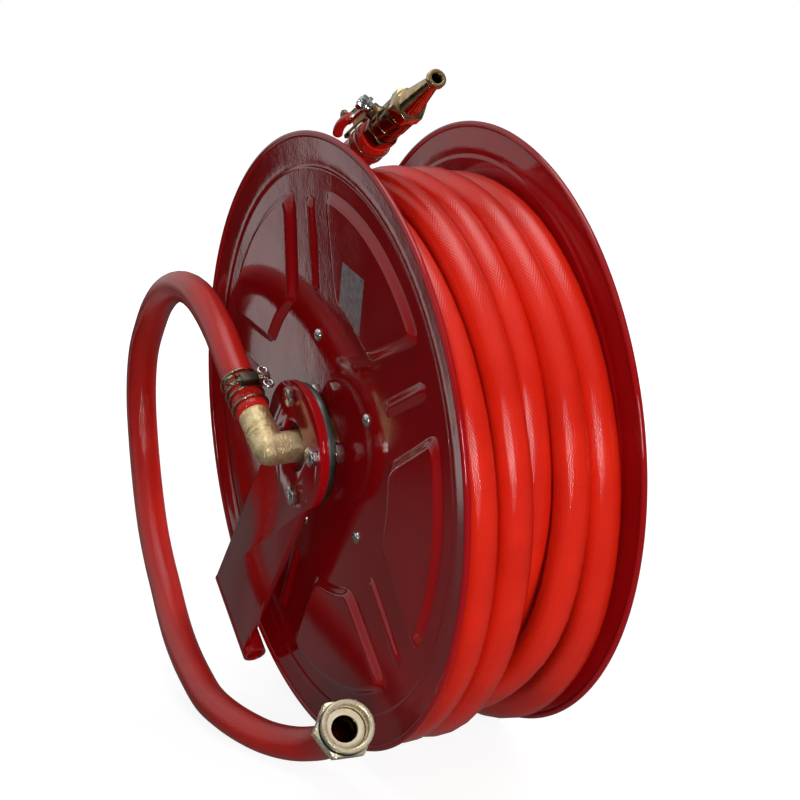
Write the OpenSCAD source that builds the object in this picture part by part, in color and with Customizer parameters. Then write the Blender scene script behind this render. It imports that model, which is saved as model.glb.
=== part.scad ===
// Fire hose reel on a swing arm: two pressed discs on a drum, a hollow axle that feeds the
// hose through a rotary joint, a lead-in hose with a swivel coupling, and a ball-valve nozzle.
// Millimetres, +Z up. The origin is the middle of the hinge tube's bore.
// Everything is laid out from the reel's axle, which runs along X.

/* [Discs] */
// Outer radius of a disc over its rolled rim
disc_r = 230; // [224:1:250]
// Distance from the middle of the reel to a disc's flat outer face
disc_x = 65; // [65:0.5:90]
// Thickness of the disc's sheet
sheet_t = 1.2; // [0.8:0.1:2]
// Radius of the wire-rolled rim
bead_r = 2.5; // [2:0.1:3.5]
// How far the disc's edge flares outwards
flare_h = 2.0; // [1:0.5:3]
// Radius at which the flare starts
flare_r = 209; // [205:1:212]
// Height of the small step inside the flare
step_h = 0.8; // [0.4:0.1:1]
// Number of petals, and of beads between them
petals = 5; // [3:1:7]
// Height to which a petal is pressed
petal_h = 4.5; // [2:0.5:5]
// Radial width of a petal's sloping edge
petal_slope = 4; // [3:0.5:6]
// Radius of a petal's inner edge
petal_in = 112; // [110:1:125]
// Radius of a petal's outer edge
petal_out = 186; // [175:1:190]
// Half width of a petal at its inner edge
petal_half_in = 29.5; // [20:0.5:32]
// Half width of a petal at its outer edge
petal_half_out = 80; // [60:1:84]
// Angle of the first petal from the back
petal_a0 = 46.8; // [0:0.1:71.9]
// Width of a radial bead
rib_w = 8; // [5:0.5:10]
// Height of a radial bead
rib_h = 2.4; // [1.5:0.1:3]
// Radius at which a bead starts
rib_in = 119; // [112:1:130]
// Radius at which a bead ends
rib_out = 176; // [150:1:180]

/* [Drum] */
// Outer radius of the drum
drum_r = 86; // [78:0.5:92]
// Distance from the drum's outside in to the circle of disc screws
screw_inset = 6; // [6:0.5:9]
// Radius of a disc screw's shank
screw_r = 2.5; // [2:0.1:3]
// Radius of a disc screw's head
screw_head_r = 4.8; // [4:0.1:6]
// Height of a disc screw's head
screw_head_h = 2.6; // [2:0.1:3.5]

/* [Axle] */
// Outer radius of the hollow axle
axle_r = 19; // [18:0.25:21]
// Radius of the waterway through the axle
water_r = 10; // [8:0.5:11]
// Radius of the elbow's end inside the axle
spigot_r = 11.5; // [11:0.25:11.75]
// Outer radius of the bearing flange
flange_r = 46; // [45:0.5:50]
// Thickness of the bearing flange
flange_t = 6; // [5:0.5:8]
// Radial running clearance of the bushes on the axle
run_gap = 0.05; // [0.03:0.01:0.09]
// Wall of a bush
bush_wall = 4; // [3:0.5:6]
// Length of a bush
bush_len = 14; // [10:1:18]
// Outer radius of the rotary joint's housing
swivel_r = 31; // [30:0.5:34]
// Width of the rotary joint's housing
swivel_w = 40; // [36:1:46]
// Radius of an O-ring's section
oring_r = 1.75; // [1.5:0.05:2]

/* [Swing arm] */
// Thickness of the arm's plate
arm_t = 5; // [4:0.5:6]
// Radius of the arm's round head
head_r = 49; // [47:0.5:54]
// Half width of the straight arm
arm_half = 36; // [30:0.5:40]
// Offset of the arm's centre line below the axle
arm_drop = 5.5; // [3:0.5:9]
// Angle of the arm below the horizontal, towards the back
arm_a = 50.5; // [40:0.5:60]
// Distance from the axle to the hinge tube along the arm
arm_len = 227; // [225:1:260]
// Radius of the clearance hole round the elbow
arm_hole = 19.3; // [17:0.1:22]
// Thickness of the back plate
back_t = 2.5; // [2:0.5:4]
// Outer radius of the hinge tube
hinge_r = 9.5; // [9:0.25:12]
// Radius of the hinge tube's bore
hinge_bore = 6.1; // [5:0.1:7]
// Length of the hinge tube
hinge_len = 78; // [74:1:90]
// How far the tube's middle lies below the arm's centre line
hinge_shift = 2; // [0:0.5:4]

/* [Hub bolts] */
// Radius of the bolt circle
bolt_circle = 37.5; // [36:0.5:39]
// Radius of a bolt's shank
bolt_r = 4; // [3:0.25:4]
// Width across flats of a bolt head
bolt_af = 13; // [10:0.5:13]
// Height of a bolt head
bolt_head_h = 5.3; // [4:0.1:6]
// Thickness of a spring washer
spring_t = 1.6; // [1:0.1:2]
// Thickness of a nut
nut_t = 6.3; // [5:0.1:6.5]

/* [Hose] */
// Outer radius of the hose
hose_r = 12.75; // [11.5:0.25:13]
// Radius of the hose's bore
hose_bore = 9.5; // [8:0.25:9.75]
// Number of layers on the drum
layers = 5; // [3:1:5]
// How far the loosely wound layers hang below the axle
sag = 13; // [0:1:14]
// Radius of the wire in a hose clamp
wire_r = 0.95; // [0.7:0.05:1.1]

/* [Elbow] */
// Distance from the middle of the reel to the elbow's corner
elbow_x = 110; // [108:1:120]
// Radius of the rough cast elbow
elbow_r = 12; // [11.5:0.25:12.5]
// Length of the elbow's outlet from its corner to the hose
elbow_out = 35; // [30:1:40]
// Angle of the outlet above the horizontal, towards the back
elbow_a = 34; // [25:1:45]
// Radius of the waterway in the fittings
fitting_bore = 6.6; // [5:0.1:7]

/* [Coupling] */
// Radius of the coupling nut's thread bore
thread_r = 15.15; // [13:0.05:15.5]
// Depth of the thread
thread_len = 11; // [9:0.5:12]
// Outer radius of the nut's round mouth
mouth_r = 19; // [18:0.25:20]
// Width across flats of the coupling nut
coupling_af = 39; // [38:0.5:42]
// Length of the nut's hexagon
coupling_hex = 10; // [8:0.5:12]

/* [Nozzle] */
// Elevation of the nozzle above the horizontal, towards the front
nozzle_a = 27.4; // [26:0.1:29]
// Radius of the jet
jet_r = 3.5; // [2.5:0.25:4]
// Outer radius of the tip ring
tip_r = 6.8; // [6:0.1:8]
// Length of the tapered jet from its hexagon to the tip
jet_len = 45; // [38:1:55]
// Width across flats of the valve's hexagons
valve_af = 23; // [22.5:0.5:25]
// Radius of the valve's round body
valve_r = 11.5; // [11:0.1:12]
// Radius of the valve ball
ball_r = 8.5; // [8.25:0.05:8.6]
// Radius of the valve stem
stem_r = 3; // [2.5:0.25:3.5]
// Height of the lever above the valve's centre line
lever_z = 19.5; // [19:0.5:21]
// Length of the lever from its stem
lever_len = 54; // [46:1:55]
// Thickness of the lever's plate
lever_t = 2.5; // [2:0.25:3]
// Radius of the lever's soft sleeve
sleeve_r = 3.8; // [3.5:0.1:4.2]

/* [Hidden] */
$fn = 64;
eps = 0.01;          // overcut that keeps cut faces apart
seat = 0.05;         // gap between round faces that seat on one another

// The pressed discs
step_a = 360 / petals;
rib_a0 = petal_a0 - step_a / 2;          // angle of the first bead, and of the disc screws
disc_in = disc_x - sheet_t;              // flat inner face of a disc
form_deep = 8;                           // depth of the solid that the sheet is cut from
edge_z = flare_h + step_h;               // height of the sheet's edge
bead_ring = disc_r - bead_r;             // ring radius of the rolled rim
bead_z = edge_z - sheet_t / 2;           // height of the rolled rim's middle
edge_rise = (edge_z - step_h) / (bead_ring - flare_r);
in_c = sqrt(petal_in * petal_in - petal_half_in * petal_half_in);
out_c = sqrt(petal_out * petal_out - petal_half_out * petal_half_out);
side_a = atan2(petal_half_out - petal_half_in, out_c - in_c);
side_tilt = atan(petal_slope / petal_h);
rib_rho = (rib_w * rib_w / 4 + rib_h * rib_h) / (2 * rib_h);

// The bushes and the hub
bush_in = axle_r + run_gap;
bush_out = bush_in + bush_wall;
bush_end = disc_x + 2;                   // outer face of a bush
centre_r = bush_out + seat;              // hole in a disc's middle
hub_t = 3;                               // thickness of a hub plate
hub_r = 46;                              // radius of a hub plate

// The stack on the arm's side, from the disc outwards
nut_x = disc_x + 4;                      // free end of the hub nuts
flange_x = nut_x + nut_t + spring_t;     // inner face of the bearing flange
back_x = flange_x + flange_t;            // inner face of the back plate
plate_x = back_x + back_t;               // inner face of the arm's plate
front_x = plate_x + arm_t;               // outer face of the arm's plate
bolt_a0 = -2.5;                          // angle of the first hub bolt
hole_gap = 0.2;                          // clearance of a screw or bolt in its hole

// The hinge tube at the end of the arm
hinge_x = front_x - hinge_r;             // the tube's front is flush with the plate
tube_seat = 4;                           // the plate stops this far before the tube's middle
hinge_drop = arm_drop + hinge_shift;
hinge_y = arm_len * cos(arm_a) - hinge_drop * sin(arm_a);
hinge_z = -arm_len * sin(arm_a) - hinge_drop * cos(arm_a);

// The axle
axle_step = bush_end + seat;             // where the axle steps down to its thread
collar_r = 24;                           // shoulder on the axle at the arm's side
axle_thread_r = 15;
washer_t = 2.5;
washer_r = 26;
axle_nut_t = 12;
axle_nut_af = 41;
axle_end = axle_step + washer_t + axle_nut_t + 2;
port_r = 5;                              // radius of the axle's cross ports
port_reach = 8;                          // the waterway ends this far past the middle
spigot_len = 20;                         // the elbow's end inside the axle

// The drum
drum_t = 1.5;                            // wall of the drum
drum_lip = 14;                           // inward flange at each end of the drum
screw_circle = drum_r - screw_inset;     // radius of the circle of disc screws
weld_nut_af = 8;
weld_nut_t = 4;

// The rotary joint's outlet: up from the housing, then along a tangent to the drum's slot
chamber_r = 24;                          // water chamber round the ports
chamber_w = 14;
oring_x = 13;                            // distance of an O-ring from the middle
outlet_r = 11;                           // outer radius of the outlet's casting
outlet_h = 52;                           // distance of the outlet's hose from the axle
outlet_len = 14;                         // length of the outlet beyond its corner
boss_r = 14;                             // boss of the housing that takes the outlet
boss_top = 38;
boss_floor = 30;                         // bottom of the socket in the boss
boss_spigot = 9;                         // radius of the outlet's spigot in the boss
slot_a = 150;                            // angle of the drum's slot
outlet_a = slot_a - acos(outlet_h / drum_r);

// The winding: a layer every hose diameter, the last one loosely laid
turn_r0 = drum_r + hose_r;               // middle of the first layer
outer_turn = turn_r0 + 2 * hose_r * (layers - 1);
pack_x = disc_in - 0.3;                  // half width of the pack
turn_end = pack_x - hose_r;              // middle of a turn that lies against a disc
outer_turns = [-turn_end, -19, 24, turn_end];
core_r = outer_turn - 0.9 * hose_r;      // the layers below, up to where the turns dip
wind_z = -min(sag, disc_r - outer_turn - hose_r - 1);   // the turns stay inside the discs
channel_r = hose_r + 2.5;                // the channel round the clamped end of the hose
rest_gap = 0.3;                          // gap between the hose's end and the turns under it

// The hose tails, all alike
tail_crest = hose_bore - seat;           // crest of a tail's barbs
tail_root = hose_bore - 0.7;
barb_pitch = 6;

// The nozzle's own frame: starts where the hose ends, x across, y up, z along the jet
nozzle_at = [-30, -19.5, 228.6];
channel_len = 105;                       // straight end of the hose, up from the winding
clamp_room = 30;                         // length of the wide channel round the clamp
stem_roll = 44;                          // the valve's stem leans towards the arm's side
barb_len = 28;                           // length of a hose tail inside its hose
collar_len = 2;                          // collar between the hose and the valve's hexagon
tail_spigot = 8;                         // the tail's spigot ends here in the valve
tail_spigot_r = 8.4;
hex_end = 12;                            // end of the valve's rear hexagon
groove_z = 26;                           // end of the round body, start of its front collar
front_r = valve_r + 0.5;                 // radius of the front collar
valve_end = 46;                          // front end of the valve's body
front_hex = 12;                          // length of the jet's hexagon
stem_z = 19;                             // place of the valve's stem along the nozzle
ball_gap = 0.05;                         // gap between the ball and its seats
ball_bore = 6.4;
seat_bore = 6.6;                         // bore of a valve seat
cage_r = ball_r + 0.6;                   // chamber round the ball
cage_z = 10.5;                           // rear end of the chamber
seat_r = cage_r - seat;                  // outer radius of a valve seat
seat_reach = 4;                          // a seat ends this far from the ball's middle
tang_w = 3;                              // the stem's tang in the ball's slot
tang_z = 6.9;
stem_boss_r = 6;
stem_boss = 17;                          // height of the stem's boss
shoulder_r = 4.5;                        // shoulder of the stem below the lever
lever_hub_r = 7;
lever_w = 11;                            // width of the lever's plate
lever_plate = 25;                        // length of the lever's plate
bar_r = 2;                               // radius of the lever's bar
bow_r = 45;                              // radius of the bar's bow
bar_z0 = stem_z - lever_plate + 3;       // the bar's two ends along the nozzle
bar_z1 = stem_z - lever_len;
bow_a = asin((bar_z0 - bar_z1) / 2 / bow_r);
sleeve_a = 6;                            // angle by which the sleeve starts later
lever_nut_t = 4.5;
lever_nut_af = 10;

// The wire clamps, measured from the end of the hose they hold
wire_ring = hose_r + wire_r + seat;      // radius of a wire's loop
block_y = wire_ring + wire_r + seat;     // foot of a clamp's block
clamp_at = [7, 16.5, 22.5, 34];          // wires of the elbow's double clamp
clamp_mid = 19.5;                        // place of its block
block_t = 7;                             // height of the block
block_z = 9;                             // width of the block along the hose
block_x0 = -8;                           // the block's two ends along its screw
block_x1 = 6;
clamp_screw_r = 2.2;
clamp_screw_x0 = -12;
clamp_screw_x1 = 16;
eye_r = 2.6;                             // ring radius of the screw's eye
eye_t = 1.1;                             // radius of the eye's section
wing_x0 = 9.5;
wing_t = 6;
wing_r = 3.8;                            // boss of the wing nut
wing_span = 6.5;                         // from the nut's middle to a wing's loop
wing_loop = 2.8;                         // ring radius of a wing's loop
nozzle_clamp_at = [11, 22];              // wires of the nozzle's clamp
bridge_z = 7;                            // front end of the strap over both wires
bridge_x = 5;                            // half width of the strap
bridge_t = 3;
pinch_z = 41;                            // place of its screw, behind the lever's reach
pinch_y = 30.5;                          // height of its screw
pinch_r = 2.3;
pinch_x0 = -5;                           // outer face of the screw's head
pinch_x1 = 14;
post_x = 4;                              // post of the strap that takes the screw
post_w = 8;
knob_r = 4.3;
knob_t = 3.5;

// The coupling, from its mouth back to the hose
coupling_washer_t = 1.6;
washer_bore = 8.2;
tail_flange_t = 3;
tail_flange_r = 14.4;                    // flange of the tail, held inside the nut
neck_r = 11.4;                           // neck of the tail in the nut's end wall
shoulder_len = 7;                        // collar of the tail behind the nut
shoulder_out = 12.7;
nut_wall = 4;                            // end wall of the nut
coupling_bore = 7.6;                     // waterway of the coupling's tail
ring_w = 2;                              // black ring between mouth and hexagon
ring_deep = 1;                           // depth of its groove
relief = 0.5;                            // undercut behind the thread
washer_z = thread_len + 0.3;             // front face of the washer
cavity = washer_z + coupling_washer_t + tail_flange_t + 3 * seat;
nut_len = cavity + nut_wall;
mouth_len = nut_len - coupling_hex - ring_w;
tail_len = nut_len + seat + shoulder_len;  // from the mouth back to the hose's end

// Route of the lead-in hose, from the axle's middle: out of the elbow, over, down to the
// floor and up into the coupling. Its last points lie on the coupling's own axis.
out_dir = [0, cos(elbow_a), sin(elbow_a)];
corner = [-elbow_x, 0, 0];
coupling_yaw = 8;                        // the coupling's mouth turns towards the arm's side
coupling_tilt = 33;                      // and points upwards
coupling_dir = [-sin(coupling_yaw) * cos(coupling_tilt),
                -cos(coupling_yaw) * cos(coupling_tilt), sin(coupling_tilt)];
coupling_at = [-111, -138, -164];        // middle of the coupling's mouth
hose_end = coupling_at - tail_len * coupling_dir;
route = [
  corner + elbow_out * out_dir,
  corner + (elbow_out + 28) * out_dir,
  [-109, 76, 51], [-107, 101, 66], [-105, 127, 77], [-104, 153, 85], [-103, 180, 87],
  [-103, 206, 84], [-104, 230, 75], [-105, 251, 60], [-106, 268, 40], [-108, 280, 17],
  [-109, 286, -8], [-110, 286, -35], [-111, 281, -62], [-113, 271, -87], [-116, 256, -111],
  [-119, 239, -132], [-122, 218, -151], [-125, 195, -167], [-129, 170, -181],
  [-133, 144, -192], [-136, 117, -201], [-138, 90, -208], [-139, 62, -214],
  [-137, 34, -216], [-132, 6, -217], [-124, -21, -217], [-115, -47, -213],
  [-107, -71, -205],
  hose_end - 28 * coupling_dir,
  hose_end
];
route_steps = 2;                         // tube rings from each point to the next
hose_sides = 12;

// ---- placing ----

module from_axle() {
  translate([hinge_x, -hinge_y, -hinge_z]) children();
}

// Local x, y, z become Y, Z, X: angles in the local plane run from the back upwards
module on_axle(x) {
  from_axle() translate([x, 0, 0]) rotate([90, 0, 90]) children();
}

module near_side() {
  from_axle() mirror([1, 0, 0]) rotate([90, 0, 90]) children();
}

module ring_of(count, radius, first) {
  for (i = [0 : count - 1])
    rotate([0, 0, first + i * 360 / count]) translate([radius, 0, 0]) children();
}

module tube(r_out, r_in, len) {
  difference() {
    cylinder(r = r_out, h = len);
    translate([0, 0, -eps]) cylinder(r = r_in, h = len + 2 * eps);
  }
}

module torus(ring, section) {
  rotate_extrude() translate([ring, 0]) circle(section, $fn = 32);
}

module hexagon(af, len) {
  cylinder(r = af / sqrt(3), h = len, $fn = 6);
}

// The elbow's frame: z runs along its outlet, from its corner
module on_outlet() {
  from_axle() translate(corner) rotate([elbow_a - 90, 0, 0]) children();
}

// The arm's frame: x runs along the arm, y across it, z towards the reel
module on_arm() {
  from_axle() rotate([-arm_a, 0, 0]) rotate([90, 0, 90]) children();
}

module on_nozzle() {
  from_axle() translate(nozzle_at) rotate([90 - nozzle_a, 0, 0]) children();
}

// As on_nozzle, with y along the valve's stem
module on_valve() {
  on_nozzle() rotate([0, 0, stem_roll]) children();
}

module on_coupling() {
  from_axle() translate(coupling_at)
    rotate([0, 0, -coupling_yaw]) rotate([90 - coupling_tilt, 0, 0]) children();
}

// ---- shapes used more than once ----

// A hose tail from z = 0 up to its free end
module barbs(len) {
  teeth = floor(len / barb_pitch);
  cylinder(r = tail_root, h = len);
  for (i = [0 : teeth - 1])
    translate([0, 0, len - (i + 1) * barb_pitch])
      cylinder(r1 = tail_crest, r2 = tail_root, h = barb_pitch);
}

// A round body, or the cut of a bore, between two heights
module rod(radius, from, to) {
  translate([0, 0, from]) cylinder(r = radius, h = to - from);
}

// ---- discs ----

module petal_side() {
  translate([in_c, petal_half_in, 0]) rotate([0, 0, side_a]) rotate([side_tilt, 0, 0])
    translate([-disc_r, -2 * disc_r, -disc_r]) cube(2 * disc_r);
}

module petal() {
  intersection() {
    rotate_extrude()
      polygon([[petal_in, 1 - form_deep], [petal_in, 0], [petal_in + petal_slope, petal_h],
        [petal_out - petal_slope, petal_h], [petal_out, 0], [petal_out, 1 - form_deep]]);
    petal_side();
    mirror([0, 1, 0]) petal_side();
  }
}

module rib() {
  translate([0, 0, rib_h - rib_rho]) {
    translate([rib_in, 0, 0]) rotate([0, 90, 0]) cylinder(r = rib_rho, h = rib_out - rib_in);
    translate([rib_in, 0, 0]) sphere(rib_rho);
    translate([rib_out, 0, 0]) sphere(rib_rho);
  }
}

// The pressed relief as a solid; grow carries its edge past the sheet's
module disc_form(grow) {
  rotate_extrude()
    polygon([[0, -form_deep], [0, 0], [flare_r - 6, 0], [flare_r - 4, step_h],
      [flare_r, step_h], [bead_ring + grow, edge_z + grow * edge_rise],
      [bead_ring + grow, -form_deep]]);
  for (i = [0 : petals - 1]) {
    rotate([0, 0, petal_a0 + i * step_a]) petal();
    rotate([0, 0, rib_a0 + i * step_a]) rib();
  }
}

module pressed_disc() {
  difference() {
    disc_form(0);
    translate([0, 0, -sheet_t]) disc_form(1);
    rod(centre_r, -form_deep, 1);
    ring_of(petals, screw_circle, rib_a0) rod(screw_r + hole_gap, -form_deep, 1);
  }
  translate([0, 0, bead_z]) torus(bead_ring, bead_r);
}

module near_disc() {
  color("firebrick") near_side() translate([0, 0, disc_x]) pressed_disc();
}

module far_disc() {
  color("firebrick") on_axle(disc_x) pressed_disc();
}

module disc_screws() {
  ring_of(petals, screw_circle, rib_a0) {
    translate([0, 0, disc_x - sheet_t - drum_t - weld_nut_t])
      cylinder(r = screw_r, h = sheet_t + drum_t + weld_nut_t);
    difference() {
      translate([0, 0, disc_x]) cylinder(r1 = screw_head_r, r2 = screw_head_r - 0.8, h = screw_head_h);
      for (a = [0, 90]) rotate([0, 0, a])
        translate([-2.6, -0.5, disc_x + screw_head_h - 1.4]) cube([5.2, 1, 2]);
    }
  }
}

module near_disc_screws() {
  color("silver") near_side() disc_screws();
}

module far_disc_screws() {
  color("silver") on_axle(0) disc_screws();
}

module nuts_inside() {
  ring_of(petals, screw_circle, rib_a0)
    translate([0, 0, disc_in - drum_t - weld_nut_t]) difference() {
      rotate([0, 0, 30]) hexagon(weld_nut_af, weld_nut_t);
      rod(screw_r + seat, -eps, weld_nut_t + eps);
    }
}

module weld_nuts() {
  color("silver") {
    near_side() nuts_inside();
    on_axle(0) nuts_inside();
  }
}

// ---- drum and hub ----

module drum_shell() {
  color("firebrick") difference() {
    on_axle(0) difference() {
      translate([0, 0, -disc_in]) cylinder(r = drum_r, h = 2 * disc_in);
      rod(drum_r - drum_t, drum_t - disc_in, disc_in - drum_t);
      rod(drum_r - drum_lip, -disc_in - eps, disc_in + eps);
      ring_of(petals, screw_circle, rib_a0) rod(screw_r + hole_gap, -disc_x, disc_x);
    }
    on_hose_start() rod(hose_r + 1, 0, drum_r);
  }
}

module near_hub_plate() {
  color("firebrick") near_side() translate([0, 0, disc_in - hub_t])
    tube(hub_r, bush_out + seat, hub_t);
}

module far_hub_plate() {
  color("firebrick") on_axle(disc_in - hub_t) tube(hub_r, bush_out + seat, hub_t);
}

module near_bush() {
  color("goldenrod") near_side() translate([0, 0, bush_end - bush_len])
    tube(bush_out, bush_in, bush_len);
}

module far_bush() {
  color("goldenrod") on_axle(bush_end - bush_len) tube(bush_out, bush_in, bush_len);
}

// ---- rotary joint ----

// z runs out along the boss of the housing
module on_boss() {
  on_axle(0) rotate([0, 0, outlet_a]) rotate([0, 90, 0]) children();
}

// z runs along the outlet's hose, from the outlet's corner
module on_hose_start() {
  on_axle(0) rotate([0, 0, outlet_a]) translate([outlet_h, 0, 0]) rotate([-90, 0, 0]) children();
}

module swivel_housing() {
  color("goldenrod") difference() {
    union() {
      on_axle(-swivel_w / 2) cylinder(r = swivel_r, h = swivel_w);
      on_boss() cylinder(r = boss_r, h = boss_top);
    }
    on_axle(0) {
      rod(bush_in, -swivel_w, swivel_w);
      rod(chamber_r, -chamber_w / 2, chamber_w / 2);
      for (x = [-oring_x, oring_x])
        translate([0, 0, x - oring_r - seat])
          cylinder(r = bush_in + 2 * oring_r + seat, h = 2 * (oring_r + seat));
    }
    on_boss() rod(boss_spigot + seat, boss_floor, boss_top + 1);
    on_boss() rod(fitting_bore, bush_in, boss_top);
  }
}

module o_rings() {
  color("dimgray") on_axle(0) {
    translate([0, 0, -oring_x]) torus(bush_in + oring_r, oring_r);
    translate([0, 0, oring_x]) torus(bush_in + oring_r, oring_r);
  }
}

module outlet_elbow() {
  color("goldenrod") difference() {
    union() {
      on_boss() {
        rod(boss_spigot, boss_floor, boss_top + 1);
        rod(outlet_r, boss_top + seat, outlet_h);
      }
      on_hose_start() {
        sphere(outlet_r);
        cylinder(r = outlet_r, h = outlet_len);
        translate([0, 0, outlet_len]) barbs(barb_len);
      }
    }
    on_boss() rod(fitting_bore, boss_floor - 1, outlet_h);
    on_hose_start() {
      sphere(fitting_bore);
      rod(fitting_bore, 0, outlet_len + barb_len + 1);
    }
  }
}

module outlet_clamp() {
  color("silver") on_hose_start()
    for (z = [6, 14]) translate([0, 0, outlet_len + z]) torus(wire_ring, wire_r);
}

module inner_hose() {
  color("red") intersection() {
    on_hose_start() translate([0, 0, outlet_len]) tube(hose_r, hose_bore, drum_r);
    on_axle(-disc_in) cylinder(r = drum_r, h = 2 * disc_in);
  }
}

// ---- wound hose ----

module wound_hose() {
  color("red") difference() {
    translate([0, 0, wind_z]) on_axle(0) rotate_extrude() {
      translate([0, -pack_x]) square([core_r, 2 * pack_x]);
      for (x = outer_turns) translate([outer_turn, x]) circle(hose_r);
    }
    on_axle(-pack_x - 1) cylinder(r = drum_r + seat, h = 2 * pack_x + 2);
    on_nozzle() {
      rod(channel_r, -clamp_room, 0);
      rod(hose_r + rest_gap, -channel_len, 0);
    }
  }
}

module nozzle_hose() {
  color("red") on_nozzle()
    translate([0, 0, rest_gap - channel_len]) tube(hose_r, hose_bore, channel_len - rest_gap);
}

// ---- nozzle ----

module nozzle_clamp() {
  color("silver") on_nozzle()
    for (z = nozzle_clamp_at) translate([0, 0, -z]) torus(wire_ring, wire_r);
}

module nozzle_clamp_block() {
  foot = block_y - 0.6;
  back = pinch_z + post_w / 2;
  color("goldenrod") on_nozzle() difference() {
    union() {
      translate([-bridge_x, foot, -back]) cube([2 * bridge_x, bridge_t, back - bridge_z]);
      translate([-bridge_x, foot, -back]) cube([bridge_x + post_x + post_w, bridge_t, post_w]);
      translate([post_x, foot, -back]) cube([post_w, pinch_y + post_w / 2 - foot, post_w]);
    }
    for (z = nozzle_clamp_at) translate([0, 0, -z]) torus(wire_ring, wire_r + seat);
    translate([post_x - 1, pinch_y, -pinch_z]) rotate([0, 90, 0])
      cylinder(r = pinch_r + seat, h = post_w + 2);
  }
}

module nozzle_clamp_screw() {
  color("goldenrod") on_nozzle() translate([pinch_x0, pinch_y, -pinch_z]) rotate([0, 90, 0]) {
    cylinder(r = pinch_r, h = pinch_x1 - pinch_x0);
    cylinder(r = knob_r, h = knob_t);
  }
}

module nozzle_tail() {
  color("goldenrod") on_nozzle() difference() {
    union() {
      mirror([0, 0, 1]) barbs(barb_len);
      cylinder(r = valve_r, h = collar_len);
      cylinder(r = tail_spigot_r, h = tail_spigot);
    }
    rod(fitting_bore, -barb_len - 1, tail_spigot + 1);
  }
}

module valve_body() {
  color("goldenrod") difference() {
    union() {
      on_nozzle() {
        translate([0, 0, collar_len + seat]) hexagon(valve_af, hex_end - collar_len);
        rod(valve_r, hex_end - 1, groove_z);
        rod(front_r, groove_z, valve_end);
      }
      on_valve() translate([0, 0, stem_z]) rotate([-90, 0, 0]) cylinder(r = stem_boss_r, h = stem_boss);
    }
    on_nozzle() {
      rod(tail_spigot_r + seat, 0, tail_spigot + seat);
      rod(fitting_bore, tail_spigot, cage_z + 1);
      rod(cage_r, cage_z, valve_end + 1);
    }
    on_valve() translate([0, 0, stem_z]) rotate([-90, 0, 0]) cylinder(r = stem_r + seat, h = stem_boss + 1);
  }
}

module valve_seats() {
  color("white") on_nozzle() difference() {
    union() {
      rod(seat_r, cage_z + seat, stem_z - seat_reach);
      rod(seat_r, stem_z + seat_reach, 2 * stem_z - cage_z);
    }
    rod(seat_bore, 0, valve_end);
    translate([0, 0, stem_z]) sphere(ball_r + ball_gap);
  }
}

module jet_nozzle() {
  jet_start = valve_end + front_hex;
  jet_end = jet_start + jet_len;
  color("goldenrod") on_nozzle() difference() {
    union() {
      rod(seat_r, 2 * stem_z - cage_z + seat, valve_end + 1);
      translate([0, 0, valve_end + seat]) hexagon(valve_af, front_hex);
      translate([0, 0, jet_start]) cylinder(r1 = 9.5, r2 = 4.8, h = jet_len - 6);
      translate([0, 0, jet_end - 6]) cylinder(r1 = 4.8, r2 = tip_r, h = 1.5);
      rod(tip_r, jet_end - 4.5, jet_end);
    }
    rod(fitting_bore, 0, jet_start);
    translate([0, 0, jet_start - eps]) cylinder(r1 = fitting_bore, r2 = jet_r, h = jet_len - 8);
    rod(jet_r, jet_start, jet_end + 1);
  }
}

module valve_ball() {
  color("silver") on_valve() translate([0, 0, stem_z]) difference() {
    sphere(ball_r);
    rod(ball_bore, -ball_r - 1, ball_r + 1);
    translate([-tang_w / 2 - seat, tang_z - seat, -ball_r]) cube([tang_w + 2 * seat, ball_r, 2 * ball_r]);
  }
}

module valve_stem() {
  color("silver") on_valve() translate([0, 0, stem_z]) {
    translate([-tang_w / 2, tang_z, -stem_r + 0.4]) cube([tang_w, 2.5, 2 * stem_r - 0.8]);
    rotate([-90, 0, 0]) {
      rod(stem_r, ball_r + 0.3, lever_z + lever_t + lever_nut_t + 1);
      rod(shoulder_r, stem_boss + seat, lever_z - seat);
    }
  }
}

// The lever's frame: x across, y back along the hose, z out along the stem
module on_lever() {
  on_valve() translate([0, lever_z, stem_z]) rotate([-90, 0, 0]) children();
}

module lever_arc(section, bore, late) {
  mid_y = stem_z - (bar_z0 + bar_z1) / 2;
  translate([0, mid_y, lever_t / 2 - bow_r * cos(bow_a)])
    rotate([90, 0, 90]) rotate([0, 0, 90 - bow_a])
      rotate_extrude(angle = 2 * bow_a - late) translate([bow_r, 0]) difference() {
        circle(section);
        if (bore > 0) circle(bore);
      }
}

module valve_lever() {
  color("silver") on_lever() {
    difference() {
      union() {
        cylinder(r = lever_hub_r, h = lever_t);
        translate([-lever_w / 2, 0, 0]) cube([lever_w, lever_plate, lever_t]);
      }
      rod(stem_r + seat, -1, lever_t + 1);
    }
    lever_arc(bar_r, 0, 0);
  }
}

module lever_sleeve() {
  color("red") on_lever() lever_arc(sleeve_r, bar_r + seat, sleeve_a);
}

module lever_nut() {
  color("silver") on_lever() translate([0, 0, lever_t + seat]) difference() {
    hexagon(lever_nut_af, lever_nut_t);
    rod(stem_r + seat, -1, lever_nut_t + 1);
  }
}

// ---- swing arm ----

module arm_plate() {
  color("firebrick") difference() {
    on_arm() translate([0, 0, -front_x]) {
      cylinder(r = head_r, h = arm_t);
      translate([0, -arm_drop - arm_half, 0]) cube([arm_len - tube_seat, 2 * arm_half, arm_t]);
    }
    near_side() {
      rod(arm_hole, plate_x - 1, front_x + 1);
      ring_of(4, bolt_circle, bolt_a0) rod(bolt_r + hole_gap, plate_x - 1, front_x + 1);
    }
    on_arm() translate([arm_len, 0, -hinge_x]) rotate([90, 0, 0])
      rod(hinge_r + seat, -2 * arm_half, 2 * arm_half);
  }
}

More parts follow.
